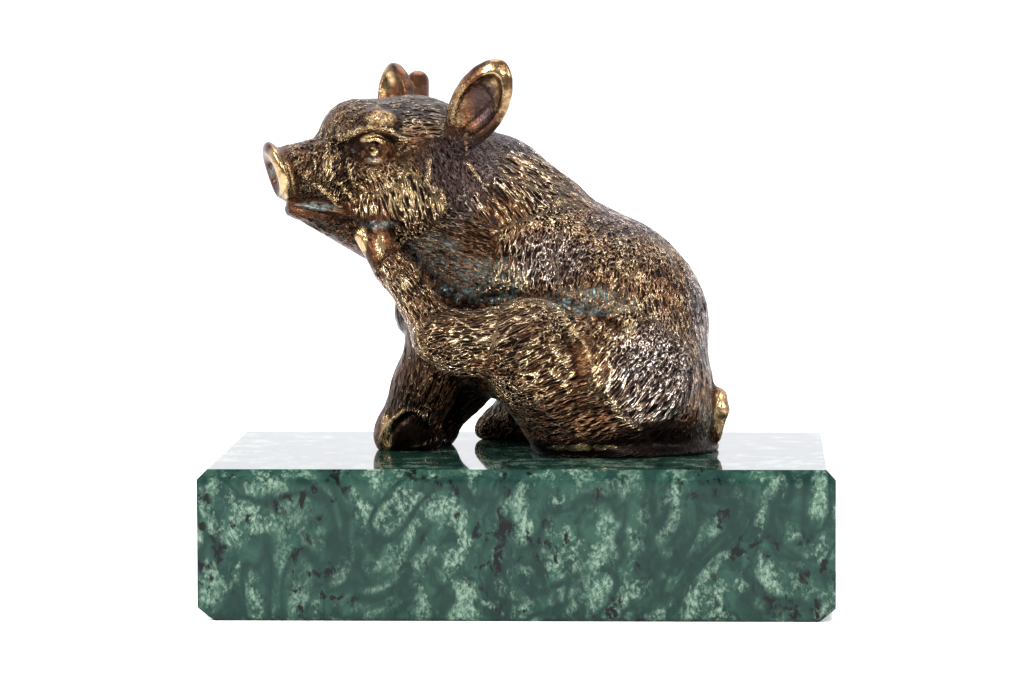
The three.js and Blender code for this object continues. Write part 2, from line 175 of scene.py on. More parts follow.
# At shares of the ear's length: how far the middle lies to the side, and half the width.
EAR_LEAF = [[-0.06, 0, 2.3], [0.12, 0, 3.2], [0.4, 0, 4.1], [0.68, 0, 3.5], [0.89, 0, 1.7]]
EAR_HOLLOW = [[0.1, -0.2, 1.1], [0.35, -0.3, 2.7], [0.6, -0.5, 2.5], [0.86, -0.4, 0.5]]
EAR_STEPS = 9
EAR_CURVE_POWER = 3
EAR_FLATNESS = 0.5
EAR_HOLLOW_FLATNESS = 0.8
EAR_HOLLOW_LIFT = 1.7
EAR_LEAF_BLEND = 0.2
EAR_HOLLOW_BLEND = 0.4
EAR_BLEND = 0.8

FORELEGS = [
    ["left upper foreleg", "limb", [-10.5, -2, 17], [-13.7, 0.3, 8.5], [5, 4], 2.5],
    ["left lower foreleg", "limb", [-13.7, 0.3, 8.5], [-15.8, 0.5, 3.6], [4, 4.1], 2],
    ["left fore hoof", "limb", [-17.4, 0.5, 1.9], [-14.6, 0.5, 1.9], [3.3, 3.3], 1.2],
    ["right upper foreleg", "limb", [-7, 8.2, 16], [-9.2, 8, 8.5], [5.2, 4], 2.5],
    ["right lower foreleg", "limb", [-9.2, 8, 8.5], [-12.2, 8, 3.6], [4, 3.2], 2],
    ["right fore hoof", "limb", [-14.2, 8, 1.6], [-12.8, 8, 1.6], [3, 2.8], 1.5],
]
LEFT_HINDLEG = [
    ["haunch", "egg", [11.5, -4.6, 10.2], [12.6, 9.2, 11.2], 3],
    ["thigh", "limb", [9, -7.5, 12.5], [1.5, -10.2, 15.4], [7, 5.6], 3],
    ["shank", "limb", [1, -10.5, 15.6], [-8, -11.2, 15.6], [5.3, 4.2], 2],
    ["hock", "limb", [-8.5, -11.2, 15.4], [-11, -11.2, 16.2], [3.8, 3.4], 1.5],
    ["cannon", "limb", [-11, -11, 16.6], [-16, -9.4, 24], [3.1, 2.3], 1.5],
    ["pastern", "limb", [-16, -9.4, 24], [-17.6, -8.9, 25.6], [2.3, 2.4], 1],
    ["outer toe", "limb", [-18.6, -8.6, 26.4], [-21.2, -8, 29.8], [1.9, 1.3], 0.4],
    ["inner toe", "limb", [-17.6, -8.2, 26.8], [-19.2, -7.4, 30.4], [1.8, 1.3], 0.4],
    ["dew claw", "limb", [-14.8, -11.4, 23.2], [-16, -11.6, 24.2], [1.1, 0.8], 0.3],
    ["back of the thigh", "limb", [2.2, -8.7, 11], [6.8, -7.5, 2.5], [6.2, 4.4], 3],
]
# Furrows that are carved behind the knee.
SKIN_FOLDS = [
    ["fold behind the knee", "limb", [6.2, -15.6, 19.4], [9.6, -16.2, 15.6], [0.9, 0.9], 1.6],
    ["end of the fold", "limb", [9.6, -16.2, 15.6], [11.4, -16.4, 10.4], [0.9, 0.7], 1.6],
]
RIGHT_HINDLEG = [
    ["haunch", "egg", [11.5, 8, 9.4], [12.2, 8.2, 10.4], 3],
    ["thigh", "limb", [10, 11, 10], [3, 12.5, 9.5], [5, 4.6], 3],
    ["shank", "limb", [1.6, 13, 9.5], [-1.6, 14.6, 4], [4.4, 3.4], 2],
    ["foot", "limb", [3, 14.6, 2.8], [-4.6, 15.2, 2.2], [2.8, 2.2], 1.5],
    ["toe", "limb", [-4.6, 15.2, 2], [-6.1, 15.2, 1.5], [2.1, 1.6], 1],
]
TAIL = [
    ["root", "limb", [24.5, 0, 7.6], [26.3, -0.2, 7.2], [1.1, 1.3], 1],
    ["bend", "limb", [26.3, -0.2, 7.2], [26.7, -0.6, 5.6], [1.3, 1.2], 0.6],
    ["end", "limb", [26.7, -0.6, 5.6], [26, -0.9, 2], [1.2, 0.9], 0.6],
]

# The net that catches the surface: runs of lines along each axis, as start, end and spacing.
# A crossing far from all flesh counts as OPEN_AIR outside, and a lump is worked out up to REACH
# beyond its own box.
NET_X = [[-37.5, -8, 0.2], [-8, 29, 0.24]]
NET_Y = [[-18.5, 0, 0.22], [0, 21, 0.34]]
NET_Z = [[-1.2, 0, 0.3], [0, 30, 0.24], [30, 56, 0.2]]
OPEN_AIR = 4
REACH = 1.5
# These keep divisions from dividing by nothing.
LEAST_LENGTH = 1e-4
LEAST_SHARE = 0.05
TINY = 1e-12


def turned(to_left, nose_up, left_side_up):
    """Forward, left and up of something that faces -X before it is turned, from three angles in degrees:
    forward by its bearing and its rise, left level, up square to both, and both tipped about forward."""
    a, b, c = np.radians([to_left, nose_up, left_side_up])
    forward = np.array([-np.cos(a) * np.cos(b), -np.sin(a) * np.cos(b), np.sin(b)])
    left = np.array([np.sin(a), -np.cos(a), 0])
    up = np.cross(forward, left)
    return np.array([forward, left * np.cos(c) + up * np.sin(c), up * np.cos(c) - left * np.sin(c)])


class Frame:
    """A point of the figure with three directions of its own."""

    def __init__(self, at, axes):
        self.at = np.array(at, float)
        self.axes = np.array(axes, float)

    def place(self, point):
        """The point in the figure's directions: this frame's point plus each number along its axis."""
        return self.at + np.array(point, float) @ self.axes

    def within(self, points):
        """Points in this frame's directions: how far each lies from the frame's point along each axis."""
        return (points - self.at) @ self.axes.T


FIGURE = Frame([0, 0, 0], np.eye(3))
HEAD_FRAME = Frame(SKULL_AT, turned(*HEAD_TURN))
SNOUT_FRAME = Frame(HEAD_FRAME.place(SNOUT_AT), turned(*SNOUT_TURN))


def lines_of(runs):
    """Places of the lines along one axis: evenly spaced in each run, the runs one after another."""
    lines = [np.array([runs[0][0]], float)]
    for start, end, step in runs:
        count = max(1, round((end - start) / step))
        lines.append(start + (end - start) * np.arange(1, count + 1) / count)
    return np.concatenate(lines)


def melt(a, b, blend):
    """The smaller of two distances, less h squared times a quarter of the blend, where h falls evenly from
    1 where they are the same to 0 where they are a blend apart."""
    h = np.maximum(blend - np.abs(a - b), 0) / blend
    return np.minimum(a, b) - h * h * blend / 4


def carve(a, b, blend):
    """Takes b away from a, with a rounded edge: minus the melt of minus a and b."""
    return -melt(-a, b, blend)


class Net:
    """A net of lines in space and how far each crossing lies outside the flesh."""

    def __init__(self):
        self.lines = [lines_of(run) for run in (NET_X, NET_Y, NET_Z)]
        self.depth = np.full([len(line) for line in self.lines], OPEN_AIR, np.float32)

    def add(self, shape, blend, mix=melt):
        """Mixes one shape into the crossings near it. A shape is its low corner, its high corner and the
        distance of a crossing outside it."""
        low, high, distance = shape
        box, grid = [], []
        for a in range(3):
            start = np.searchsorted(self.lines[a], low[a] - blend - REACH)
            end = np.searchsorted(self.lines[a], high[a] + blend + REACH)
            box.append(slice(start, end))
            part = self.lines[a][start:end].astype(np.float32)
            grid.append(part.reshape([-1 if n == a else 1 for n in range(3)]))
        box = tuple(box)
        self.depth[box] = mix(self.depth[box], distance(grid), blend)

    def add_rows(self, rows, frame=FIGURE, mix=melt):
        """Mixes in the eggs and limbs of a table that is given in a frame's own directions."""
        for row in rows:
            if row[1] == "egg":
                shape = egg_shape(row[2], row[3], frame)
            else:
                shape = limb_shape(frame.place(row[2]), frame.place(row[3]), row[4])
            self.add(shape, row[-1], mix)

    def points(self, *numbers):
        """Places of crossings from the numbers of their lines along x, y and z."""
        return np.stack([line[n] for line, n in zip(self.lines, numbers)], -1)


def egg_shape(at, half, frame):
    """Box and distance of an egg: k0 times (k0 - 1) over k1, where k0 is the length of the offset divided
    by the half sizes and k1 that of the offset divided by their squares."""
    centre = frame.place(at)
    half = np.array(half, float)
    spread = np.sqrt((frame.axes.T**2) @ half**2)

    def distance(grid):
        q = [grid[a] - centre[a] for a in range(3)]
        own = [axis[0] * q[0] + axis[1] * q[1] + axis[2] * q[2] for axis in frame.axes]
        k0 = np.sqrt(sum((v / h) ** 2 for v, h in zip(own, half)))
        k1 = np.sqrt(sum((v / h**2) ** 2 for v, h in zip(own, half)))
        return k0 * (k0 - 1) / np.maximum(k1, LEAST_LENGTH)

    return centre - spread, centre + spread, distance


def limb_shape(a, b, radii, squeeze=None):
    """Box and distance of a limb: the offset from the line between its ends, less the radius there. With a
    squeeze, a direction and a share, the section is an oval that is a share as thick in that direction,
    and the offset is taken times (1 - 1 / k), where k is the offset in units of the oval's radius."""
    run = b - a
    most = max(radii)

    def distance(grid):
        q = [grid[n] - a[n] for n in range(3)]
        t = np.clip((q[0] * run[0] + q[1] * run[1] + q[2] * run[2]) / (run @ run), 0, 1)
        off = [q[n] - t * run[n] for n in range(3)]
        radius = radii[0] + (radii[1] - radii[0]) * t
        length = np.sqrt(off[0] ** 2 + off[1] ** 2 + off[2] ** 2)
        if squeeze is None:
            return length - radius
        direction, share = squeeze
        across = off[0] * direction[0] + off[1] * direction[1] + off[2] * direction[2]
        k = np.sqrt(length**2 + (1 / share**2 - 1) * across**2) / radius
        return length * (1 - 1 / np.maximum(k, LEAST_SHARE))

    return np.minimum(a, b) - most, np.maximum(a, b) + most, distance


def mirrored(row):
    """The same row on the head's other side: its points with the sign of their second number changed."""
    flip = np.array([1, -1, 1])
    if row[1] == "egg":
        return [row[0], row[1], row[2] * flip, row[3], row[4]]
    return [row[0], row[1], row[2] * flip, row[3] * flip, row[4], row[5]]


def on_eye(turn_back, rise, radius):
    """The point at a radius from the eyeball's middle, along where the eye looks once that is turned back
    and raised, in degrees."""
    out = np.array(EYE_LOOKS) / np.linalg.norm(EYE_LOOKS)
    back = np.cross(out, [0, 0, 1])
    back /= -np.linalg.norm(back)
    up = np.cross(back, out)
    a, b = np.radians([turn_back, rise])
    ray = np.cos(b) * (np.cos(a) * out + np.sin(a) * back) + np.sin(b) * up
    return np.array(EYEBALL[2]) + radius * ray


def lid(rise):
    """Limbs from corner to corner. The lid rises by the root of 1 less t squared, where t runs from -1 at
    one corner to 1 at the other."""
    turns = np.linspace(-1, 1, LID_LENGTHS + 1)
    ends = [on_eye(LID_CORNERS * t, rise * np.sqrt(1 - t * t), LID_RADIUS) for t in turns]
    radii = [LID_THICKNESS, LID_THICKNESS]
    return [["lid", "limb", a, b, radii, LID_BLEND] for a, b in zip(ends[:-1], ends[1:])]


def pupil(radius, blend, lift=0):
    """A ball whose middle is on the eyeball's surface, or a lift further out."""
    at = on_eye(PUPIL_ANGLES[0], PUPIL_ANGLES[1], EYEBALL[3][0] + lift)
    return ["pupil", "egg", at, [radius, radius, radius], blend]


def add_head(net):
    """Skull and jaws, then each feature of the face with its mirror image, then the snout's disc."""
    net.add_rows(HEAD, HEAD_FRAME)
    groove = pupil(PUPIL_RING + PUPIL_GROOVE, PUPIL_BLEND)
    ring = pupil(PUPIL_RING, PUPIL_BLEND)
    hole = pupil(PUPIL_HOLE, PUPIL_HOLE_BLEND, PUPIL_HOLE_LIFT)
    steps = [
        (FACE_PAIRS, melt),
        (FACE_HOLLOWS, carve),
        ([EYEBALL] + lid(UPPER_LID_RISE) + lid(-LOWER_LID_DROP), melt),
        ([groove], carve),
        ([ring], melt),
        ([hole], carve),
    ]
    for rows, mix in steps:
        net.add_rows(rows, HEAD_FRAME, mix)
        net.add_rows([mirrored(row) for row in rows], HEAD_FRAME, mix)
    net.add_rows([SNOUT], SNOUT_FRAME)
    net.add_rows(SNOUT_HOLLOWS, SNOUT_FRAME, carve)


def ear_frame(ear):
    """The ear's frame at its root, with its axes along it, across it and out of its hollow, and its length.
    Out is the way it faces, less that direction's share along the ear."""
    span = np.array(ear["tip"], float) - ear["root"]
    along = span / np.linalg.norm(span)
    out = np.array(ear["faces"]) - along * (along @ ear["faces"])
    out /= np.linalg.norm(out)
    return Frame(ear["root"], [along, np.cross(out, along), out]), np.linalg.norm(span)


def flowing(rows):
    """Rows at even shares of the ear's length, on cubics fitted to the sides and the radii of a table."""
    shares, sides, radii = np.array(rows).T
    finer = np.linspace(shares[0], shares[-1], EAR_STEPS)
    sides = np.polyval(np.polyfit(shares, sides, EAR_CURVE_POWER), finer)
    radii = np.polyval(np.polyfit(shares, radii, EAR_CURVE_POWER), finer)
    return list(zip(finer, sides, radii))


def add_ear(net, ear):
    """A leaf of flattened limbs, less flattened limbs along its front, melted into the head."""
    frame, length = ear_frame(ear)
    out = frame.axes[2]
    rest = net.depth
    net.depth = np.full_like(rest, OPEN_AIR)
    for rows, lift, flatness, blend, mix in [
        (flowing(EAR_LEAF), 0, EAR_FLATNESS, EAR_LEAF_BLEND, melt),
        (flowing(EAR_HOLLOW), EAR_HOLLOW_LIFT, EAR_HOLLOW_FLATNESS, EAR_HOLLOW_BLEND, carve),
    ]:
        for (s0, side0, r0), (s1, side1, r1) in zip(rows[:-1], rows[1:]):
            ends = [frame.place([s * length, side, lift]) for s, side in ((s0, side0), (s1, side1))]
            radii = [r0 * ear["width"], r1 * ear["width"]]
            net.add(limb_shape(ends[0], ends[1], radii, (out, flatness)), blend, mix)
    net.depth = melt(rest, net.depth, EAR_BLEND)


def modelled():
    """The net with the whole figure in it, cut off flat at height 0."""
    net = Net()
    net.add_rows(TORSO)
    add_head(net)
    for ear in EARS:
        add_ear(net, ear)
    net.add_rows([RIGHT_EAR_RIM])
    net.add_rows(FORELEGS)
    net.add_rows(LEFT_HINDLEG)
    net.add_rows(SKIN_FOLDS, mix=carve)
    net.add_rows(RIGHT_HINDLEG)
    net.add_rows(TAIL)
    net.depth = np.maximum(net.depth, -net.lines[2].astype(np.float32))
    return net


# The twelve edges of a cell of the net as (corner, corner, axis); corner bits are x, y, z.
EDGES = [(c, c | 1 << a, a) for a in range(3) for c in range(8) if not c >> a & 1]
EDGE_NUMBER = {(p, q): n for n, (p, q, _) in enumerate(EDGES)}


def cell_faces():
    """The six faces of a cell of the net, each as its four corners in turn."""
    faces = []
    for axis in range(3):
        b, c = [a for a in range(3) if a != axis]
        for side in range(2):
            o = side << axis
            faces.append([o, o | 1 << b, o | 1 << b | 1 << c, o | 1 << c])
    return faces


def sheets_of(mask, faces):
    """Sorts the crossed edges of a cell into the sheets of surface that pass through it. Two crossed edges
    of a face are on one sheet; where all four are crossed, the two that meet at an inside corner are."""
    parent = list(range(12))

    def root(n):
        while parent[n] != n:
            n = parent[n]
        return n

    def inside(corner):
        return mask >> corner & 1

    for face in faces:
        ring = [(face[n], face[(n + 1) % 4]) for n in range(4)]
        edges = [EDGE_NUMBER[min(pair), max(pair)] for pair in ring]
        crossed = [edge for edge, (p, q) in zip(edges, ring) if inside(p) != inside(q)]
        if len(crossed) == 2:
            parent[root(crossed[0])] = root(crossed[1])
        if len(crossed) == 4:
            for n in range(4):
                if inside(face[n]):
                    parent[root(edges[n - 1])] = root(edges[n])
    numbers = {}
    sheet = [-1] * 12
    for n, (p, q, _) in enumerate(EDGES):
        if inside(p) != inside(q):
            sheet[n] = numbers.setdefault(root(n), len(numbers))
    return sheet, len(numbers)


def sheet_tables():
    """For each of the 256 ways in which corners can be inside: the sheet of each edge, and their count."""
    faces = cell_faces()
    found = [sheets_of(mask, faces) for mask in range(256)]
    return np.array([sheet for sheet, _ in found]), np.array([count for _, count in found])


def catch_surface(net):
    """Vertices and four-sided faces: one vertex for each sheet of surface in a cell, at the mean of the
    sheet's crossings, and one face round each crossed line of the net."""
    sheets, counts = sheet_tables()
    inside = net.depth < 0
    size = [n - 1 for n in inside.shape]
    mask = np.zeros(size, np.int32)
    for c in range(8):
        part = tuple(slice(c >> a & 1, size[a] + (c >> a & 1)) for a in range(3))
        mask |= inside[part].astype(np.int32) << c
    active = (mask > 0) & (mask < 255)
    cells = np.argwhere(active)
    masks = mask[active]
    start = np.concatenate([[0], np.cumsum(counts[masks])])
    first = np.full(size, -1)
    first[active] = start[:-1]
    total = np.zeros((start[-1], 4))
    for n, (p, q, axis) in enumerate(EDGES):
        sheet = sheets[masks, n]
        crossed = sheet >= 0
        low = cells[crossed] + [p >> a & 1 for a in range(3)]
        high = cells[crossed] + [q >> a & 1 for a in range(3)]
        at_low = net.depth[tuple(low.T)].astype(float)
        at_high = net.depth[tuple(high.T)].astype(float)
        share = (at_low / (at_low - at_high))[:, None]
        point = net.points(*low.T) * (1 - share) + net.points(*high.T) * share
        vertex = start[:-1][crossed] + sheet[crossed]
        for a in range(3):
            total[:, a] += np.bincount(vertex, point[:, a], start[-1])
        total[:, 3] += np.bincount(vertex, minlength=start[-1])
    faces = []
    for axis in range(3):
        b, c = (axis + 1) % 3, (axis + 2) % 3
        lower = np.take(inside, range(size[axis]), axis)
        upper = np.take(inside, range(1, size[axis] + 1), axis)
        here = np.argwhere(lower != upper)
        solid = lower[tuple(here.T)]
        ring = []
        for db, dc in [(1, 1), (0, 1), (0, 0), (1, 0)]:
            cell = here.copy()
            cell[:, b] -= db
            cell[:, c] -= dc
            low = db << b | dc << c
            number = EDGE_NUMBER[low, low | 1 << axis]
            spot = tuple(cell.T)
            ring.append(first[spot] + sheets[mask[spot], number])
        quads = np.stack(ring, 1)
        quads[~solid] = quads[~solid][:, ::-1]
        faces.append(quads)
    return total[:, :3] / total[:, 3:], np.concatenate(faces)


def vertex_normals(points, faces):
    """The sum of the cross products of the diagonals of the faces round each vertex, made one long."""
    first = points[faces[:, 2]] - points[faces[:, 0]]
    second = points[faces[:, 3]] - points[faces[:, 1]]
    crossed = np.cross(first, second)
    normals = np.zeros_like(points)
    for a in range(3):
        for corner in range(4):
            normals[:, a] += np.bincount(faces[:, corner], crossed[:, a], len(points))
    return normals / (np.linalg.norm(normals, axis=1, keepdims=True) + TINY)


# The hair, in rows: name, frame, middle, reach, direction of the hair, spacing, length and
# height of the strokes in mm, and how much bare metal shows on them.
HAIR = [
    ["rump", FIGURE, [20, -4, 22], [8, 14, 11], [0.15, 0, 1], 0.75, 3.6, 0.13, 0.55],
    ["haunch", FIGURE, [17, -12, 13], [8, 8, 10], [0.62, 0, 0.78], 0.68, 4.4, 0.17, 1],
    ["lower haunch", FIGURE, [8, -12, 4], [9, 7, 6], [0.95, 0, 0.3], 0.7, 3.5, 0.13, 0.2],
    ["loin", FIGURE, [10, -7, 27], [9, 10, 6], [0.25, 0, 1], 0.75, 2.6, 0.15, 0.55],
    ["flank", FIGURE, [1, -7, 27], [7, 8, 7], [0.15, 0, 1], 0.7, 2.4, 0.16, 0.95],
    ["shoulder", FIGURE, [-8, -7, 29], [7, 8, 6], [0.95, 0, -0.3], 0.55, 3, 0.1, 0.25],
    ["withers", FIGURE, [-3, -5, 34], [7, 9, 4.5], [0.55, 0, -0.84], 0.8, 6, 0.16, 0.9],
    ["mane", FIGURE, [1, 0, 38], [6, 8, 3.5], [0.95, 0, -0.3], 0.85, 7, 0.18, 0.9],
    ["neck", FIGURE, [-9, -5, 38], [6, 8, 6], [0.4, 0, -0.9], 0.5, 1.5, 0.08, 0.1],
    ["chest", FIGURE, [-15, 3, 22], [7, 12, 8], [0.2, 0, 1], 0.7, 3, 0.13, 0.2],
    ["foreleg", FIGURE, [-14, 2, 10], [7, 12, 10], [0.3, 0, 1], 0.8, 4, 0.14, 0.2],
    ["thigh", FIGURE, [2, -14, 14], [8, 7, 7], [0.9, 0, 0.42], 0.7, 3.8, 0.14, 0.75],
    ["shank", FIGURE, [-8, -13, 16], [7, 7, 6], [0.97, 0, 0.15], 0.7, 2.6, 0.15, 0.75],
    ["cannon", FIGURE, [-14, -11, 21], [6, 5, 7], [-0.5, 0, 0.85], 0.6, 2.2, 0.12, 0.8],
    ["right side", FIGURE, [4, 16, 18], [26, 10, 22], [0.5, 0, 0.85], 0.75, 3, 0.13, 0.4],
    ["skull", HEAD_FRAME, [1, 3, 7], [11, 9, 6], [1, 0, 0.1], 0.6, 5, 0.12, 0.4],
    ["nape", HEAD_FRAME, [-7, 0, 2], [6, 12, 8], [0.5, 0, 0.8], 0.55, 2, 0.09, 0.2],
    ["muzzle", HEAD_FRAME, [12.5, 0, -2], [5, 7, 6], [0.3, 0, -1], 0.6, 2.2, 0.17, 0.4],
    ["cheek", HEAD_FRAME, [3, 6, -7], [8, 9, 5], [-0.25, 0, -1], 0.8, 5, 0.16, 0.8],
    ["under the eye", HEAD_FRAME, [6, 5, -3.5], [4, 6, 3], [-0.5, 0, -0.86], 0.7, 4, 0.12, 0.45],
    ["right cheek", HEAD_FRAME, [3, -7, -3], [9, 7, 9], [-0.2, 0, -1], 0.85, 4, 0.15, 0.4],
    ["chin", HEAD_FRAME, [10, 0, -9], [8, 6, 3], [1, 0, -0.3], 0.7, 3, 0.1, 0.1],
    ["back", FIGURE, [9, 5, 33], [9, 7, 5], [0.9, 0, -0.4], 0.8, 4, 0.14, 0.4],
    ["seat", FIGURE, [24, 2, 7], [7, 14, 8], [0.15, 0, 1], 0.75, 3.6, 0.13, 0.35],
    ["belly", FIGURE, [0, 2, 10], [14, 10, 10], [0.9, 0, 0.4], 0.8, 4, 0.12, 0.1],
]
# How many tufts there are to a spacing.
TUFTS = 0.9

# Folds, ridges and grooves drawn along the surface, in rows: name, frame, half width, height, how much
# bare metal shows, and the corners of the line.
LINES = [
    ["neck crease", HEAD_FRAME, 0.25, 0.2, 0.8, [
        [-4.4, 11, 3.6], [-5, 9.9, 1], [-6.1, 9, -1], [-7.9, 10.4, -3.8],
    ]],
    ["behind the cheek", HEAD_FRAME, 0.3, 0.2, 1, [
        [-0.2, 8.5, -0.1], [0, 8.7, -3.5], [-1.8, 9, -4.3], [-2.6, 9.3, -6],
    ]],
    ["under the eye", HEAD_FRAME, 0.28, 0.22, 1, [
        [9.9, 4.9, -1.7], [8.9, 4.7, -3.6], [7.4, 4.8, -4.9], [6.5, 5.5, -5.5],
    ]],
    ["muzzle crease", HEAD_FRAME, 0.28, 0.2, 1, [
        [11.2, 4.2, -3.9], [9.8, 3.7, -5.2], [8.5, 4.2, -6.2],
    ]],
    ["lip edge", HEAD_FRAME, 0.3, 0.2, 1, [
        [13.5, 3.5, -4.5], [11.9, 3, -5.7], [10.4, 3.5, -7],
    ]],
    ["brow edge", HEAD_FRAME, 0.35, 0.15, 1.2, [
        [11.3, 4.3, 1.9], [9.1, 6.2, 3.4], [7, 7, 3.8], [4.8, 7.5, 3.3], [2.9, 7.5, 2.3],
    ]],
    ["upper lid", HEAD_FRAME, 0.3, 0.12, 1.2, [
        [8.5, 5.7, 1.9], [7.4, 6.4, 2.6], [5.5, 6.1, 1.9],
    ]],
    ["knee rim", FIGURE, 0.6, 0.12, 0.6, [
        [-2.2, -10.1, 20.8], [1.3, -11.5, 21.5], [4, -11.2, 21], [6.7, -13.5, 18.1],
    ]],
    ["thigh rim", FIGURE, 0.35, 0.25, 0.7, [
        [6.7, -13.5, 18.1], [8.5, -14.3, 15.8], [9.7, -14.6, 13.4], [10.4, -14.6, 9.8],
    ]],
    ["groove beside the rim", FIGURE, 0.5, -0.25, 0, [
        [5.8, -14, 16.8], [7.6, -14.6, 14.2], [8.2, -14.6, 10.5],
    ]],
    ["first fold", FIGURE, 0.4, 0.28, 0.8, [
        [4.4, -15.6, 15.5], [5.5, -15.4, 14.2], [6.5, -15.1, 12.6],
    ]],
    ["second fold", FIGURE, 0.4, 0.28, 0.8, [
        [4.4, -15.5, 11.8], [5.7, -15, 10.7], [6.5, -14.5, 9.3],
    ]],
    ["haunch fold", FIGURE, 0.4, 0.25, 0.6, [
        [11.3, -14.6, 10.7], [12.3, -13.9, 8.1], [13.7, -13, 5.7], [16, -11.7, 3.9],
    ]],
    ["seam of the hock", FIGURE, 0.2, 0.15, 1, [
        [-16.3, -11.9, 22.7], [-14.9, -12.5, 20.5], [-13.8, -13.4, 18], [-12, -13.2, 13.4],
    ]],
    ["cleft of the toes", FIGURE, 0.35, -0.35, 0, [
        [-20, -9.4, 29.6], [-19.5, -10.1, 27.7], [-19, -10.8, 25.9],
    ]],
    ["ridge of the hoof", FIGURE, 0.3, 0.3, 1, [
        [-16.4, -3.5, 5.5], [-17.8, -3.1, 4.4], [-19.1, -2.5, 2.9], [-19.7, -1.8, 1],
    ]],
    ["cleft of the hoof", FIGURE, 0.3, -0.35, 0, [
        [-15.7, -3.7, 4.9], [-17, -3.4, 3.9], [-18, -3.1, 2.6], [-18.6, -2.6, 1],
    ]],
    ["top of the hoof", FIGURE, 0.3, 0.2, 0.3, [
        [-16.4, -3.5, 5.5], [-15.1, -3.8, 5.8], [-13.8, -3.5, 5], [-12.6, -2.5, 3.5],
    ]],
    ["claw of the foreleg", FIGURE, 0.5, 0.35, 0.4, [
        [-13.4, -3.4, 4.9], [-13, -3, 4],
    ]],
    ["edge on the stone", FIGURE, 0.3, 0.2, 0.4, [
        [-15.2, -2.9, 0.8], [-13.5, -2.6, 1], [-11.8, -1.3, 1.7],
    ]],
    ["valley behind the thigh", FIGURE, 0.55, -0.4, 0, [
        [-5.2, -5.5, 21.1], [-2.3, -6.8, 21.3], [1.2, -9.4, 22], [4.2, -10.1, 21.8],
        [7.3, -11, 20.9], [10.7, -11.7, 19.5], [13.5, -12.2, 17.6],
    ]],
    ["groove behind the shank", FIGURE, 0.5, -0.35, 0, [
        [-15.6, -5.1, 28], [-13.4, -4.4, 25.3], [-11.2, -4.8, 22.9], [-9, -5.5, 21.2],
    ]],
    ["groove over the thigh", FIGURE, 0.5, -0.25, 0, [
        [-9, -5.8, 20.4], [-5.7, -5.2, 20.2], [-2.2, -10, 21.3], [4, -11, 22],
    ]],
]

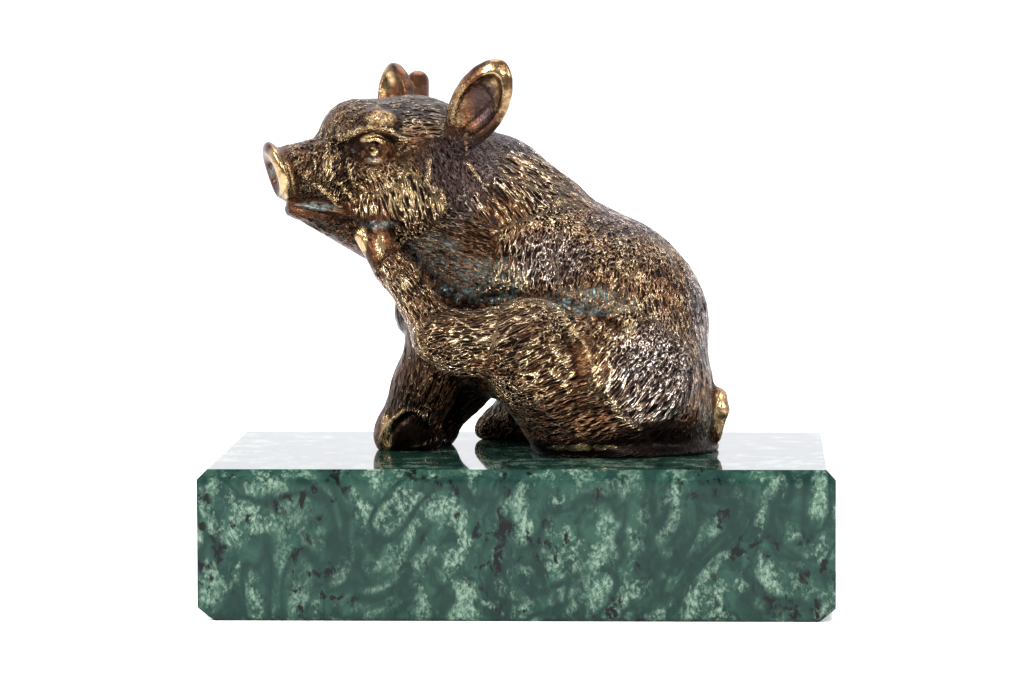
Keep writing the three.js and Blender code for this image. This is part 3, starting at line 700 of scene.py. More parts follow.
# Places where the skin differs, in rows: name, channel, frame, middle, reach, strength. The dark channel is
# dark patina in the hollows and painted shade under the chest and belly, over the foot of the rim and
# beside the tail. The violet channel is partly the patina's own tint and mostly painted sheen on the top
# and back.
PATCHES = [
    ["near ear", "smooth", FIGURE, [-5, -8, 49], [6, 5, 7], 1.2],
    ["right ear", "smooth", FIGURE, [-17, 11, 49], [5, 5, 6], 1.2],
    ["snout disc", "smooth", SNOUT_FRAME, [0.3, 0, 0], [2.2, 5.5, 5.2], 1.5],
    ["eye", "smooth", HEAD_FRAME, [7.2, 5.8, 1.2], [3, 3, 2.4], 1.2],
    ["right eye", "smooth", HEAD_FRAME, [7.2, -5.8, 1.2], [3, 3, 2.4], 1.2],
    ["brow bulge", "smooth", HEAD_FRAME, [6, 5.8, 5], [2.6, 2, 1.5], 1],
    ["lips", "smooth", HEAD_FRAME, [13, 2, -7.5], [5, 3, 1.4], 1],
    ["toes", "smooth", FIGURE, [-20, -8.5, 29], [3, 4, 3.6], 1],
    ["hoof", "smooth", FIGURE, [-16.5, -2.5, 2], [4.5, 6, 3.4], 1],
    ["hoof", "dark", FIGURE, [-15.4, -3, 2.4], [4, 6, 3.4], 1],
    ["front of the hoof", "polish", FIGURE, [-18.8, -2, 2.4], [0.9, 3, 3], 0.7],
    ["flat of the rim", "smooth", FIGURE, [13, -7, 1.4], [16, 10, 1.6], 1],
    # Painted shade on the foot of the rim and in the gap beside the tail.
    ["foot of the rim", "dark", FIGURE, [12, -8, 0.6], [18, 12, 2.6], 1.4],
    ["beside the tail", "dark", FIGURE, [24.6, -2.4, 4], [1.5, 3.4, 5], 1],
    ["band over the rim", "smooth", FIGURE, [19, -9, 3.4], [6, 8, 1.6], 0.7],
    ["right hoof", "smooth", FIGURE, [-14, 8, 1.8], [4, 4, 2.4], 1],
    ["skin behind the knee", "smooth", FIGURE, [8.6, -14.5, 14], [1.4, 3, 3], 0.55],
    ["tail", "smooth", FIGURE, [27, -0.5, 5], [1.8, 2.5, 4.5], 1],
    ["right brow", "polish", HEAD_FRAME, [6.3, -6.3, 5], [2.6, 1.6, 1.6], 0.55],
    ["right cheek", "polish", HEAD_FRAME, [3, -7.6, -4], [3.6, 2, 3.4], 0.4],
    ["right pupil", "polish", HEAD_FRAME, [7.1, -6.2, 0.5], [0.7, 0.6, 0.7], 1],
    ["right upper lid", "polish", HEAD_FRAME, [7.2, -6.2, 2.4], [1.8, 1, 0.6], 1],
    ["snout rim", "polish", SNOUT_FRAME, [0.4, 3.2, -1.2], [1.6, 2.6, 4.6], 1.3],
    ["brow", "polish", HEAD_FRAME, [6.3, 6.3, 5], [2.6, 1.6, 1.6], 0.55],
    ["pouch", "polish", HEAD_FRAME, [6.6, 5.9, -2.6], [1.6, 1.5, 0.9], 0.8],
    ["cheek", "polish", HEAD_FRAME, [3, 7.6, -3.4], [3.2, 2, 3], 0.75],
    ["back of the cheek", "polish", HEAD_FRAME, [-1.6, 9, -6], [1.6, 2, 1.6], 0.9],
    ["jowl", "polish", HEAD_FRAME, [2, 7.6, -6.4], [4, 2, 1.6], 0.55],
    ["fold over the muzzle", "polish", HEAD_FRAME, [12.8, 3.6, -1.6], [0.9, 1.5, 2.2], 0.7],
    ["toe", "polish", FIGURE, [-21.6, -8.8, 29], [1, 2, 2.6], 1],
    ["second toe", "polish", FIGURE, [-18.9, -9.8, 28.4], [0.7, 2, 2], 0.9],
    ["dew claw", "polish", FIGURE, [-15.6, -12.4, 24], [1, 1.5, 1.1], 0.9],
    ["skin behind the knee", "polish", FIGURE, [8.8, -14.5, 13.8], [1.2, 3, 2.6], 0.3],
    ["knee", "polish", FIGURE, [1.5, -12, 21], [4, 2.4, 1.4], 0.35],
    ["haunch, high", "polish", FIGURE, [14.8, -12, 17.6], [1.4, 3, 1.4], 0.7],
    ["rump", "polish", FIGURE, [22, -9, 19.6], [0.8, 4, 2.8], 0.7],
    ["tail", "polish", FIGURE, [26.8, -1, 5.4], [1.1, 2, 4], 0.85],
    ["pupil", "polish", HEAD_FRAME, [7.1, 6.2, 0.5], [0.7, 0.6, 0.7], 1],
    ["upper lid", "polish", HEAD_FRAME, [7.2, 6.2, 2.4], [1.8, 1, 0.6], 1],
    ["lower lid", "polish", HEAD_FRAME, [6.4, 6.3, -0.7], [1.3, 0.8, 0.4], 0.5],
    ["edge of the rim", "polish", FIGURE, [8, -12, 1.5], [6, 3, 0.5], 0.5],
    ["near ear rim", "polish", FIGURE, [-9, -8.6, 48], [2, 4, 5], 0.5],
    ["near ear tip", "polish", FIGURE, [-3, -9.6, 51.6], [3, 4, 2.2], 0.5],
    ["near ear edge", "polish", FIGURE, [-2, -8.4, 47.6], [1.8, 4, 4], 0.5],
    ["right ear rim", "polish", FIGURE, [-19.8, 11, 50.6], [1.8, 4, 2.4], 0.7],
    ["shoulder hollow", "green", FIGURE, [-5.4, -6.6, 23.6], [8, 5, 3.6], 0.8],
    ["under the neck", "green", FIGURE, [-11.6, -5.4, 27.4], [4.4, 5, 3.4], 0.6],
    ["mouth", "green", HEAD_FRAME, [13.2, 2.4, -7.3], [4, 2, 0.7], 0.75],
    ["over the toes", "green", FIGURE, [-19.6, -7.4, 31.2], [3, 3, 0.6], 0.7],
    ["left nostril", "green", SNOUT_FRAME, [0.6, 1.6, 0], [0.9, 1, 1.6], 0.7],
    ["right nostril", "green", SNOUT_FRAME, [0.6, -1.6, 0], [0.9, 1, 1.6], 0.7],
    ["corner of the eye", "green", HEAD_FRAME, [9.6, 5.2, 0.6], [1, 1, 0.6], 0.35],
    ["lower lid", "green", HEAD_FRAME, [7, 6, -0.6], [2.2, 1, 0.5], 0.4],
    ["root of the tail", "green", FIGURE, [24.6, -2, 5], [1.6, 4, 4], 0.6],
    ["behind the thigh", "green", FIGURE, [9, -11, 21], [8, 4, 2.2], 0.75],
    ["hoofs", "green", FIGURE, [-14, 4, 1], [6, 6, 1.4], 0.5],
    ["round the eye", "dark", HEAD_FRAME, [8, 5.6, 0.9], [3.6, 2, 1.9], 0.9],
    ["under the brow", "dark", HEAD_FRAME, [5.4, 6.8, 2.4], [3, 1.4, 0.7], 1],
    ["muzzle", "dark", HEAD_FRAME, [14.6, 3, -4.4], [2.6, 2, 1.6], 0.5],
    ["chin", "dark", HEAD_FRAME, [9, 3, -10], [7, 4, 2.2], 0.6],
    # Painted shade under the body: chest, foreleg, hamstring, band over the rim and belly.
    ["chest", "dark", FIGURE, [-12, 2, 15], [9, 9, 9], 0.7],
    ["foreleg", "dark", FIGURE, [-12, 3, 6], [8, 10, 10], 0.65],
    ["hamstring", "dark", FIGURE, [2, -9, 7], [6, 6, 5], 0.6],
    ["over the rim", "dark", FIGURE, [13, -6, 2.6], [15, 9, 2.6], 1],
    ["belly", "dark", FIGURE, [0, 2, 12], [9, 8, 6], 0.8],
    ["near ear inside", "violet", FIGURE, [-4.6, -7.6, 47.6], [2.6, 2, 3.8], 0.6],
    ["ear hollow", "dark", FIGURE, [-4.6, -7.6, 47.6], [2.4, 2, 3.6], 0.5],
    ["top of the skull", "dark", HEAD_FRAME, [0, 2, 7.5], [11, 9, 5], 0.7],
    ["front of the snout", "dark", SNOUT_FRAME, [1.2, 0.4, 0], [0.7, 3, 3.4], 0.8],
    ["round the right eye", "dark", HEAD_FRAME, [8, -5.6, 0.9], [3.6, 2, 1.9], 0.9],
    ["under the right brow", "dark", HEAD_FRAME, [5.4, -6.8, 2.4], [3, 1.4, 0.7], 1],
    # Painted sheen on the haunch, flank, top and back, partly the patina's violet tint.
    ["haunch", "violet", FIGURE, [18.5, -12, 11], [7, 7, 8], 0.65],
    ["flank", "violet", FIGURE, [4, -10, 27], [6, 6, 4], 0.5],
    ["skull", "violet", HEAD_FRAME, [-1, 2, 8], [11, 8, 4], 0.25],
    ["neck", "violet", FIGURE, [-8, -5, 39], [6, 7, 5], 0.6],
    ["crest", "violet", FIGURE, [-1, 3, 42], [5, 6, 3], 0.6],
    ["edge of the rump", "violet", FIGURE, [25, 0, 22], [3, 10, 12], 0.7],
    ["back", "violet", FIGURE, [16, 2, 32], [9, 8, 4], 0.6],
    ["behind the jaw", "violet", HEAD_FRAME, [-5, 9, -4], [3, 5, 5], 0.5],
]
CHANNELS = ["smooth", "polish", "green", "violet", "dark"]


CELL_FACTORS = np.array([374761393, 668265263, 2147483647])
SEED_FACTOR = 974634777
SHUFFLE_FACTOR = 1274126177
LOW_32_BITS = 0xFFFFFFFF
LOW_16_BITS = 0xFFFF


def scatter(cells, seed):
    """A random number from 0 to 1 for every cell of a grid of whole numbers: the cell's three numbers and
    the seed, each times a large odd number, are added, cut to 32 bits and shuffled."""
    h = ((cells * CELL_FACTORS).sum(-1) + seed * SEED_FACTOR) & LOW_32_BITS
    h = ((h ^ (h >> 13)) * SHUFFLE_FACTOR) & LOW_32_BITS
    return ((h ^ (h >> 16)) & LOW_16_BITS) / LOW_16_BITS


def noise(points, seed):
    """Smooth noise from 0 to 1: the random numbers of the eight whole points round a point, weighted by
    its share t of the way along each axis, eased as t squared times (3 - 2 t)."""
    low = np.floor(points)
    part = points - low
    part = part * part * (3 - 2 * part)
    low = low.astype(np.int64)
    total = np.zeros(points.shape[:-1])
    for corner in range(8):
        bits = np.array([corner >> a & 1 for a in range(3)])
        weight = np.prod(np.where(bits, part, 1 - part), -1)
        total += weight * scatter(low + bits, seed)
    return total


# How one stroke of hair is formed: the size in mm of its bends and how far they push it, how steep
# its crest is, and the shares of the crest and of a softer noise in its height.
BEND_SIZE = 2.6
BEND_REACH = 0.9
CREST_STEEPNESS = 4.5
CREST_SHARE = 0.6
CREST_SEED = 5
BODY_SCALE = 1.3
BODY_SHIFT = 7.3
BODY_SHARE = 0.55
BODY_SEED = 6


def strokes(points, direction, spacing, length, seed):
    """Height from -1 to 1 of hair strokes: 1 less the distance of a noise from its middle value, times the
    steepness, plus a softer noise. Both noises are as wide as the spacing, drawn out to the length along
    the direction, and bent by a third one."""
    along = np.array(direction, float)
    along /= np.linalg.norm(along)
    bend = np.stack([noise(points / BEND_SIZE, seed + n) - 0.5 for n in range(3)], -1)
    q = points + bend * BEND_REACH
    run = q @ along
    q = (q / spacing + run[..., None] * along * (1 / length - 1 / spacing)) * TUFTS
    crest = 1 - np.abs(noise(q, seed + CREST_SEED) - 0.5) * CREST_STEEPNESS
    body = noise(q * BODY_SCALE + BODY_SHIFT, seed + BODY_SEED) * 2 - 1
    return np.clip(CREST_SHARE * crest + BODY_SHARE * body, -1, 1)


# Where one row of hair gives way to the next: a row ends at this many times its reach, and a noise
# makes the border ragged.
HAIR_END = 1.35
RAGGED_SIZE = 1.1
RAGGED_LEAST = 0.25
RAGGED_MORE = 1.5
RAGGED_SEED = 3
SEED_STEP = 11
STRAND_SHIFT = 17.3
LEAST_WEIGHT = 1e-3


def hair(points):
    """Height in mm of the tufts and share of bare metal at each point: the means of the rows that reach it,
    weighted by the cube of what is left to the row's end. Also the strands' own coordinates, in which
    1 across them is one spacing and 1 along them one length, in the direction of the strongest row."""
    height = np.zeros(len(points))
    bare = np.zeros(len(points))
    total = np.full(len(points), LEAST_WEIGHT)
    most = np.zeros(len(points))
    strands = np.zeros((len(points), 3))
    ragged = RAGGED_LEAST + RAGGED_MORE * noise(points / RAGGED_SIZE, RAGGED_SEED)
    for number, row in enumerate(HAIR):
        _, frame, middle, reach, direction, spacing, length, high, metal = row
        own = frame.within(points)
        off = np.sqrt((((own - middle) / reach) ** 2).sum(1))
        near = np.flatnonzero(off < HAIR_END)
        own = own[near]
        weight = np.clip(HAIR_END - off[near], 0, 1) ** 3
        height[near] += weight * high * strokes(own, direction, spacing, length, number * SEED_STEP)
        bare[near] += weight * metal
        total[near] += weight
        along = np.array(direction, float) / np.linalg.norm(direction)
        run = (own @ along)[:, None]
        fine = own / spacing + run * along * (1 / length - 1 / spacing) + number * STRAND_SHIFT
        strength = weight * ragged[near]
        first = strength > most[near]
        strands[near[first]] = fine[first]
        most[near] = np.maximum(most[near], strength)
    return height / total, bare / total, strands


LINE_SPACING = 0.2
LINE_REACH = 2


def lines_on(points):
    """Height in mm and bare metal of the folds. Each line is laid onto the nearest points of the surface,
    and its height falls off as a bell: e to the minus squared distance over squared half width."""
    height = np.zeros(len(points))
    bare = np.zeros(len(points))
    for _, frame, width, high, metal, corners in LINES:
        corners = np.array([frame.place(corner) for corner in corners])
        steps = np.linalg.norm(np.diff(corners, axis=0), axis=1)
        run = np.concatenate([[0], np.cumsum(steps)])
        spots = np.arange(0, run[-1], LINE_SPACING)
        path = np.stack([np.interp(spots, run, corners[:, a]) for a in range(3)], -1)
        inside = (points > path.min(0) - LINE_REACH) & (points < path.max(0) + LINE_REACH)
        near = np.flatnonzero(inside.all(1))
        own = points[near]
        path = np.array([own[np.argmin(((own - spot) ** 2).sum(1))] for spot in path])
        off = np.min([((own - spot) ** 2).sum(1) for spot in path], 0)
        bell = np.exp(-off / width**2)
        height[near] += high * bell
        bare[near] = np.maximum(bare[near], metal * bell)
    return height, bare


PATCH_END = 1.25
PATCH_FADE = 0.7


def patches(points):
    """For each channel, the strongest of its patches at each point. A patch fades over the last part of its
    reach, eased as t squared times (3 - 2 t), where t is the share of that part that is left."""
    shares = {channel: np.zeros(len(points)) for channel in CHANNELS}
    for _, channel, frame, middle, reach, strength in PATCHES:
        own = frame.within(points)
        off = np.sqrt((((own - middle) / reach) ** 2).sum(1))
        fade = np.clip((PATCH_END - off) / PATCH_FADE, 0, 1)
        shares[channel] = np.maximum(shares[channel], strength * fade * fade * (3 - 2 * fade))
    return shares


def linear(code):
    """An sRGB hex colour as linear values: the part over 12.92 where it is dark, and otherwise
    (part + 0.055) / 1.055 to the power of 2.4."""
    parts = [int(code[n : n + 2], 16) / 255 for n in (1, 3, 5)]
    return [p / 12.92 if p <= 0.04045 else ((p + 0.055) / 1.055) ** 2.4 for p in parts] + [1]


# Kinds of nodes: the type, its settings, the inputs that are fed in order, and the output.
OBJECT_PLACE = ["ShaderNodeTexCoord", {}, [], "Object"]
SKY_DIRECTION = ["ShaderNodeTexCoord", {}, [], "Generated"]
TOWARDS_BACK = ["ShaderNodeSeparateXYZ", {}, ["Vector"], "Y"]
SLANT = ["ShaderNodeMapping", {}, ["Vector", "Rotation", "Scale"], 0]
STRAND_PLACE = ["ShaderNodeAttribute", {"attribute_name": "strands"}, [], "Vector"]
NOISE = ["ShaderNodeTexNoise", {}, ["Vector", "Scale", "Detail", "Roughness", "Distortion"], 0]
RANGE = ["ShaderNodeMapRange", {"clamp": True}, ["Value", "From Min", "From Max", "To Min", "To Max"], 0]
MIX = ["ShaderNodeMix", {"data_type": "RGBA"}, [0, 6, 7], 2]
BUMP = ["ShaderNodeBump", {}, ["Height", "Strength", "Distance", "Normal"], 0]
SUM, DIFFERENCE, PRODUCT, SIZE = [
    ["ShaderNodeMath", {"operation": operation}, [0, 1], 0]
    for operation in ("ADD", "SUBTRACT", "MULTIPLY", "ABSOLUTE")
]


def feed(tree, node, values):
    """Gives each named input of a node a number, a hex colour or another node's output."""
    for name, value in values.items():
        socket = node.inputs[name]
        if isinstance(value, bpy.types.NodeSocket):
            tree.links.new(value, socket)
        elif isinstance(value, str):
            socket.default_value = linear(value)
        else:
            socket.default_value = value


def add_node(tree, kind, *values):
    """Adds a node of one of the kinds above with its settings and links, and gives its output."""
    type_name, settings, inputs, output = kind
    node = tree.nodes.new(type_name)
    for name, setting in settings.items():
        setattr(node, name, setting)
    feed(tree, node, dict(zip(inputs, values)))
    return node.outputs[output]


def new_material(name):
    """A material, its node tree, the tree's shader, and add_node for that tree."""
    material = bpy.data.materials.new(name)
    material.use_nodes = True
    tree = material.node_tree

    def add(kind, *values):
        return add_node(tree, kind, *values)

    return material, tree, tree.nodes["Principled BSDF"], add


# Noises on the bronze: size in mm, detail, roughness and distortion. The cloud is the uneven brown,
# the grain the skin of the casting and the patch the uneven rubbing. A real casting's grain is finer
# than a tenth of a millimetre and is drawn 0.45 mm wide, so that it shows.
BRONZE_NOISES = [
    [5, 4, 0.5, 0],
    [0.45, 3, 0.6, 0],
    [1.5, 4, 0.65, 0],
]
# Single hairs: how many there are to a tuft's spacing, and the rest of their noise.
HAIR_NOISE = [1.65, 1.6, 0.5, 0.3]
HAIR_HEIGHT = 0.32
CAST_HEIGHT = 0.08
DEEP_BROWN = "#38251a"
BROWN = "#66442d"
# Violet-grey: partly the patina's own tint, mostly painted sheen of the bright surroundings on the top and
# back.
VIOLET_TINT_AND_SHEEN = "#484045"
# Near black: dark patina in the hollows, and painted shade under the chest and belly, over the foot of the
# rim and beside the tail.
PATINA_AND_SHADE_BLACK = "#120e0c"
GROOVE = "#15100e"
DULL_GOLD = "#7b6344"
GOLD = "#b69c74"
# Painted glints: near white on the highest bare crests, silvery where the violet sheen is.
PAINTED_GLINT = "#dccba8"
SILVERY_PAINTED_GLINT = "#f0eae6"
VERDIGRIS = "#7c9794"
# Numbers that the piglet's mesh holds for each vertex and the bronze reads.
VERTEX_NUMBERS = ["crest", "bare", "rough", "dark", "polish", "green", "violet"]


def single_hairs(add, tuft, rough):
    """Height of the hairs: 1 on the middle line of a noise in the strands' own coordinates, falling to 0
    beside it, plus a quarter of the tuft's height, and flat where the skin is smooth."""
    wave = add(NOISE, add(STRAND_PLACE), *HAIR_NOISE)
    away = add(SIZE, add(DIFFERENCE, wave, 0.5))
    strand = add(RANGE, away, 0, 0.13, 1, 0)
    return add(PRODUCT, add(SUM, strand, add(PRODUCT, tuft, 0.25)), rough)


def patina(add, see, groove, cloud):
    """Brown skin under violet-grey painted sheen, with dark patina and painted shade, nearly black in the
    grooves.
    """
    brown = add(MIX, add(RANGE, cloud, 0.36, 0.62), DEEP_BROWN, BROWN)
    # Painted sheen, partly the patina's violet tint.
    brown = add(MIX, see["violet"], brown, VIOLET_TINT_AND_SHEEN)
    # Dark patina in the hollows and painted shade.
    brown = add(MIX, add(PRODUCT, see["dark"], 0.9), brown, PATINA_AND_SHADE_BLACK)
    return add(MIX, groove, brown, GROOVE)


def wear(add, see, crest, groove, grain, patch):
    """How far the patina is rubbed off: on the crests where metal is bare, and on the polished places,
    less in their grooves."""
    on_crests = add(PRODUCT, add(RANGE, crest, 0.62, 0.98), see["bare"])
    uneven = add(RANGE, patch, 0.32, 0.55, 0.45, 1.1)
    polished = add(PRODUCT, see["polish"], uneven)
    polished = add(PRODUCT, polished, add(RANGE, groove, 0, 0.9, 1, 0.25))
    both = add(SUM, on_crests, polished)
    return add(RANGE, add(SUM, both, add(PRODUCT, grain, 0.25)), 0.3, 0.85)


def verdigris(add, see, crest, grain, patch):
    """Share of powdery blue-green: where the mesh asks for it, in patches and grains, least on crests."""
    dusty = add(PRODUCT, see["green"], add(RANGE, patch, 0.35, 0.6, 0.25, 1))
    dusty = add(PRODUCT, dusty, add(RANGE, grain, 0.35, 0.6, 0.2, 1))
    return add(PRODUCT, dusty, add(RANGE, crest, 0.3, 0.9, 1, 0.3))


def bronze_material():
    """Cast bronze, patinated dark brown and rubbed back by hand. The eye sees gold on the crests of the
    hair and on the polished places, nearly black grooves, blue-green in the hollows, a violet-grey tint
    that is mostly painted sheen on the top and back, painted near-white glints on the highest crests, and
    painted shade under the body."""
    material, tree, shader, add = new_material("patinated_bronze")
    see = {}
    for name in VERTEX_NUMBERS:
        see[name] = add(["ShaderNodeAttribute", {"attribute_name": name}, [], "Fac"])
    at = add(OBJECT_PLACE)
    cloud, grain, patch = [add(NOISE, at, 1 / (size * MM), *rest) for size, *rest in BRONZE_NOISES]
    crest = single_hairs(add, see["crest"], see["rough"])
    groove = add(PRODUCT, add(RANGE, crest, 0.1, 0.5, 0.97, 0), see["rough"])
    worn = wear(add, see, crest, groove, grain, patch)
    gold = add(MIX, add(RANGE, patch, 0.35, 0.65), DULL_GOLD, GOLD)
    skin = add(MIX, worn, patina(add, see, groove, cloud), gold)
    # Painted glint: the highest crests of bare hair are painted near white, silvery where the violet sheen
    # is.
    tip = add(PRODUCT, add(RANGE, crest, 0.8, 1.05), add(PRODUCT, see["bare"], 0.8))
    skin = add(MIX, tip, skin, add(MIX, add(RANGE, see["violet"], 0, 0.6), PAINTED_GLINT, SILVERY_PAINTED_GLINT))
    dusty = verdigris(add, see, crest, grain, patch)
    skin = add(MIX, add(RANGE, dusty, 0.1, 0.9, 0, 0.6), skin, VERDIGRIS)
    hair_bump = add(BUMP, crest, 1, HAIR_HEIGHT * MM)
    cast = add(SUM, grain, add(PRODUCT, patch, 2))
    values = {
        "Base Color": skin,
        "Metallic": add(RANGE, dusty, 0.08, 0.7, 1, 0.3),
        "Roughness": add(RANGE, worn, 0, 1, 0.3, 0.2),
        "Normal": add(BUMP, cast, 0.5, CAST_HEIGHT * MM, hair_bump),
    }
    feed(tree, shader, values)
    return material


# Noises in the stone: size in mm, detail, roughness and distortion. In turn: the change of the dark
# ground, the broad streams that carry the clumps, the clumps, the middle green, the crystals' grain,
# and where and how large the black specks are. Real crystals are about 0.2 mm wide, and are drawn
# 0.55 mm wide, so that they show.
STONE_NOISES = [
    [18, 4, 0.6, 0.6],
    [13, 3, 0.5, 1.2],
    [3.4, 3, 0.55, 0.3],
    [2.2, 5, 0.65, 0.8],
    [0.55, 4, 0.7, 0.2],
    [8, 3, 0.6, 0.8],
    [1.8, 4, 0.62, 0.3],
]
STONE_SLANT = 0.6
STONE_STRETCH = 0.7
DARK_STONE = "#0c211d"
STONE = "#112a25"
MIDDLE_STONE = "#203b31"
GREY_STONE = "#385146"
PALE_STONE = "#748775"
BLACK_STONE = "#060809"


def marble_material():
    """Serpentine marble, sawn and polished. The eye sees a deep green ground under a mirror-like face, with
    grainy pale clumps that slant up to the right, darker streams between them, and black specks."""
    material, tree, shader, add = new_material("green_marble")
    slanted = add(SLANT, add(OBJECT_PLACE), [0, STONE_SLANT, 0], [1, 1, STONE_STRETCH])
    ground, stream, clump, middle, grain, spread, speck = [
        add(NOISE, slanted, 1 / (size * MM), *rest) for size, *rest in STONE_NOISES
    ]
    stone = add(MIX, add(RANGE, ground, 0.35, 0.65), DARK_STONE, STONE)
    stone = add(MIX, add(RANGE, middle, 0.4, 0.6), stone, MIDDLE_STONE)
    from_stream = add(SIZE, add(DIFFERENCE, stream, 0.5))
    beside = add(RANGE, from_stream, 0.02, 0.09)
    ragged = add(SUM, clump, add(RANGE, grain, 0.3, 0.7, -0.09, 0.09))
    in_clump = add(PRODUCT, beside, add(RANGE, ragged, 0.48, 0.62))
    stone = add(MIX, add(RANGE, in_clump, 0, 1, 0, 0.75), stone, GREY_STONE)
    crystal = add(PRODUCT, in_clump, add(RANGE, grain, 0.42, 0.6))
    stone = add(MIX, add(RANGE, crystal, 0, 1, 0, 0.7), stone, PALE_STONE)
    stone = add(MIX, add(RANGE, from_stream, 0, 0.05, 0.8, 0), stone, DARK_STONE)
    black = add(PRODUCT, add(RANGE, speck, 0.4, 0.46, 1, 0), add(RANGE, spread, 0.5, 0.58))
    stone = add(MIX, black, stone, BLACK_STONE)
    feed(tree, shader, {"Base Color": stone, "Roughness": 0.04, "Specular IOR Level": 0.13})
    return material


def mesh_object(name, points, faces, material):
    """An object at the origin from points in metres and faces of three or four corners."""
    mesh = bpy.data.meshes.new(name)
    mesh.from_pydata(points, [], faces)
    mesh.polygons.foreach_set("use_smooth", np.ones(len(faces), bool))
    mesh.materials.append(material)
    mesh.update()
    thing = bpy.data.objects.new(name, mesh)
    bpy.context.scene.collection.objects.link(thing)
    return thing


def give(thing, name, values, kind="FLOAT", key="value"):
    """A number or a vector for each vertex, which the material reads by name."""
    layer = thing.data.attributes.new(name, kind, "POINT")
    layer.data.foreach_set(key, np.asarray(values, np.float32).ravel())


PIGLET_TRIANGLES = 196000


def thinned(thing, limit):
    """The same surface in fewer triangles, of which each four-sided face counts as two."""
    cut = thing.modifiers.new("fewer triangles", "DECIMATE")
    cut.ratio = min(1, limit / (2 * len(thing.data.polygons)))
    shape = bpy.data.meshes.new_from_object(thing.evaluated_get(bpy.context.evaluated_depsgraph_get()))
    thing.modifiers.clear()
    thing.data = shape


def biggest_part(points, faces):
    """Leaves out any speck of surface that doesn't hang together with the figure: each vertex takes the
    lowest number among its faces' vertices, over and over, until nothing changes."""
    label = np.arange(len(points))
    while True:
        lowest = label[faces].min(1)
        spread = label.copy()
        for corner in range(4):
            np.minimum.at(spread, faces[:, corner], lowest)
        spread = spread[spread]
        if (spread == label).all():
            break
        label = spread
    keep = label == np.bincount(label).argmax()
    number = np.cumsum(keep) - 1
    return points[keep], number[faces[keep[faces[:, 0]]]]


# The hair fades out over the last stretch above the stone, in mm, and on smooth skin.
FADE_ABOVE_STONE = 0.8
SMOOTHEST = 0.92
# A crest counts as full at this height, in mm.
FULL_CREST = 0.15
# Painted sheen: what faces up is tinted a little violet-grey, as if it reflected the bright sky.
SKY_SHEEN_ON_TOPS = 0.1
MOST_TINT_AND_SHEEN = 0.85


def piglet(bronze):
    """The whole animal: the melted lumps of the tables, raised by the hair along the surface's normals."""
    points, faces = biggest_part(*catch_surface(modelled()))
    normals = vertex_normals(points, faces)
    tufts, bare, strands = hair(points)
    fold, metal = lines_on(points)
    share = patches(points)
    rough = 1 - np.clip(share["smooth"], 0, SMOOTHEST)
    height = tufts * rough + fold
    free = np.clip(points[:, 2] / FADE_ABOVE_STONE, 0, 1)
    points = points + normals * (height * free)[:, None]
    points[:, 2] += STONE_TOP
    upward = np.clip((normals[:, 2] - 0.5) / 0.5, 0, 1)
    thing = mesh_object("piglet_bronze", points * MM, faces, bronze)
    give(thing, "crest", np.clip(height / FULL_CREST, -1, 1))
    give(thing, "bare", bare)
    give(thing, "rough", rough)
    give(thing, "dark", share["dark"])
    give(thing, "strands", strands, "FLOAT_VECTOR", "vector")
    give(thing, "polish", np.maximum(share["polish"], metal))
    give(thing, "green", share["green"])
    # Violet-grey tint and painted sheen, more on what faces up.
    give(thing, "violet", np.clip(share["violet"] + SKY_SHEEN_ON_TOPS * upward, 0, MOST_TINT_AND_SHEEN))
    thinned(thing, PIGLET_TRIANGLES)
    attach(thing, "root")
    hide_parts("piglet")


def dress_nodes(materials):
    """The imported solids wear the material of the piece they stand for."""
    for thing in bpy.data.objects:
        if thing.type == "MESH" and thing.name in materials:
            thing.data.materials.clear()
            thing.data.materials.append(materials[thing.name])


FLOOR_HALF_WIDTH = 0.45
FLOOR_FRONT = -0.2
FLOOR_BACK = 0.35


def floor():
    """A matt white table top. It is small, because a wider one would shine in the stone."""
    material, tree, shader, _ = new_material("white_floor")
    feed(tree, shader, {"Base Color": "#ffffff", "Roughness": 0.6})
    half = FLOOR_HALF_WIDTH
    front, back = FLOOR_FRONT, FLOOR_BACK
    corners = [[-half, front, 0], [half, front, 0], [half, back, 0], [-half, back, 0]]
    mesh_object("floor", corners, [[0, 1, 2, 3]], material)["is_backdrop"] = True


# The camera's place in mm, its angles in radians, and its lens and sensor in mm.
CAMERA_AT = [29.95, -669.71, 86.28]
CAMERA_YAW = 0.0471748562
CAMERA_PITCH = 0.0764391046
CAMERA_ROLL = -0.00349617159
CAMERA_LENS = 173.157
CAMERA_SENSOR = 36


def placed(thing, at, right, up, back):
    """Puts a camera or a light at a point in metres, turned to three directions of its own."""
    turn = np.eye(4)
    turn[:3, :3] = np.array([right, up, back]).T
    turn[:3, 3] = at
    thing.matrix_world = Matrix(turn.tolist())
    bpy.context.scene.collection.objects.link(thing)


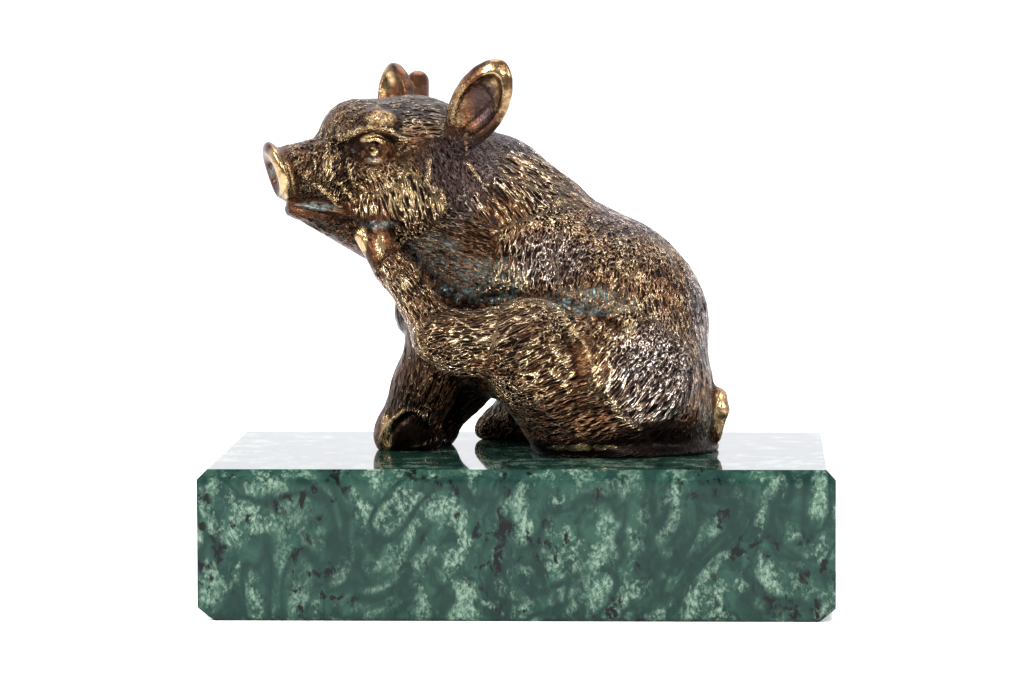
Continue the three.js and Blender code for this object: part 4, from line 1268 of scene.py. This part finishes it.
def camera():
    """Looks along +Y, a little to -X and down, with a long lens."""
    yaw, pitch, roll = CAMERA_YAW, CAMERA_PITCH, CAMERA_ROLL
    ahead = np.array([-np.sin(yaw) * np.cos(pitch), np.cos(yaw) * np.cos(pitch), -np.sin(pitch)])
    right = np.cross(ahead, [0, 0, 1])
    right /= np.linalg.norm(right)
    up = np.cross(right, ahead)
    right, up = np.cos(roll) * right + np.sin(roll) * up, np.cos(roll) * up - np.sin(roll) * right
    data = bpy.data.cameras.new("camera")
    data.lens = CAMERA_LENS
    data.sensor_width = CAMERA_SENSOR
    thing = bpy.data.objects.new("camera", data)
    placed(thing, np.array(CAMERA_AT) * MM, right, up, -ahead)
    bpy.context.scene.camera = thing


# Soft boxes: name, place and side in metres, and power in watts. They face the middle of the piglet.
LIGHTS = [
    ["left box", [-0.45, -0.35, 0.4], 0.25, 6],
    ["right box", [0.5, -0.25, 0.3], 0.25, 2],
    ["front box", [0.12, -0.7, 0.42], 0.14, 4.5],
    ["top box", [0, 0.2, 0.6], 0.5, 4],
]
LIT_POINT = [0, 0, 0.045]


def lights():
    """Square boxes; back is the way from the lit point to the box, and the box's side is level."""
    for name, at, side, watts in LIGHTS:
        data = bpy.data.lights.new(name, "AREA")
        data.size = side
        data.energy = watts
        back = np.array(at, float) - LIT_POINT
        back /= np.linalg.norm(back)
        right = np.cross([0, 0, 1], back)
        right /= np.linalg.norm(right)
        placed(bpy.data.objects.new(name, data), at, right, np.cross(back, right), back)


# The white that surrounds the table: its strength at the camera's back and behind the piglet.
WHITE = "#fbfaff"
WHITE_EDGES = [-0.9, 0.9]
WHITE_STRENGTHS = [0.4, 1.65]


def studio():
    """White all round, which brightens evenly from the camera's side to the side behind the piglet."""
    world = bpy.data.worlds.new("studio")
    world.use_nodes = True
    tree = world.node_tree
    along = add_node(tree, TOWARDS_BACK, add_node(tree, SKY_DIRECTION))
    strength = add_node(tree, RANGE, along, *WHITE_EDGES, *WHITE_STRENGTHS)
    feed(tree, tree.nodes["Background"], {"Color": WHITE, "Strength": strength})
    bpy.context.scene.world = world
    bpy.context.scene.view_settings.view_transform = "Standard"


bronze = bronze_material()
piglet(bronze)
dress_nodes({"piglet": bronze, "plinth": marble_material()})
floor()
camera()
lights()
studio()
sizes = [[[float(n) for n in corner] for corner in box] for box in (BOUNDS_AT_LOAD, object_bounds())]
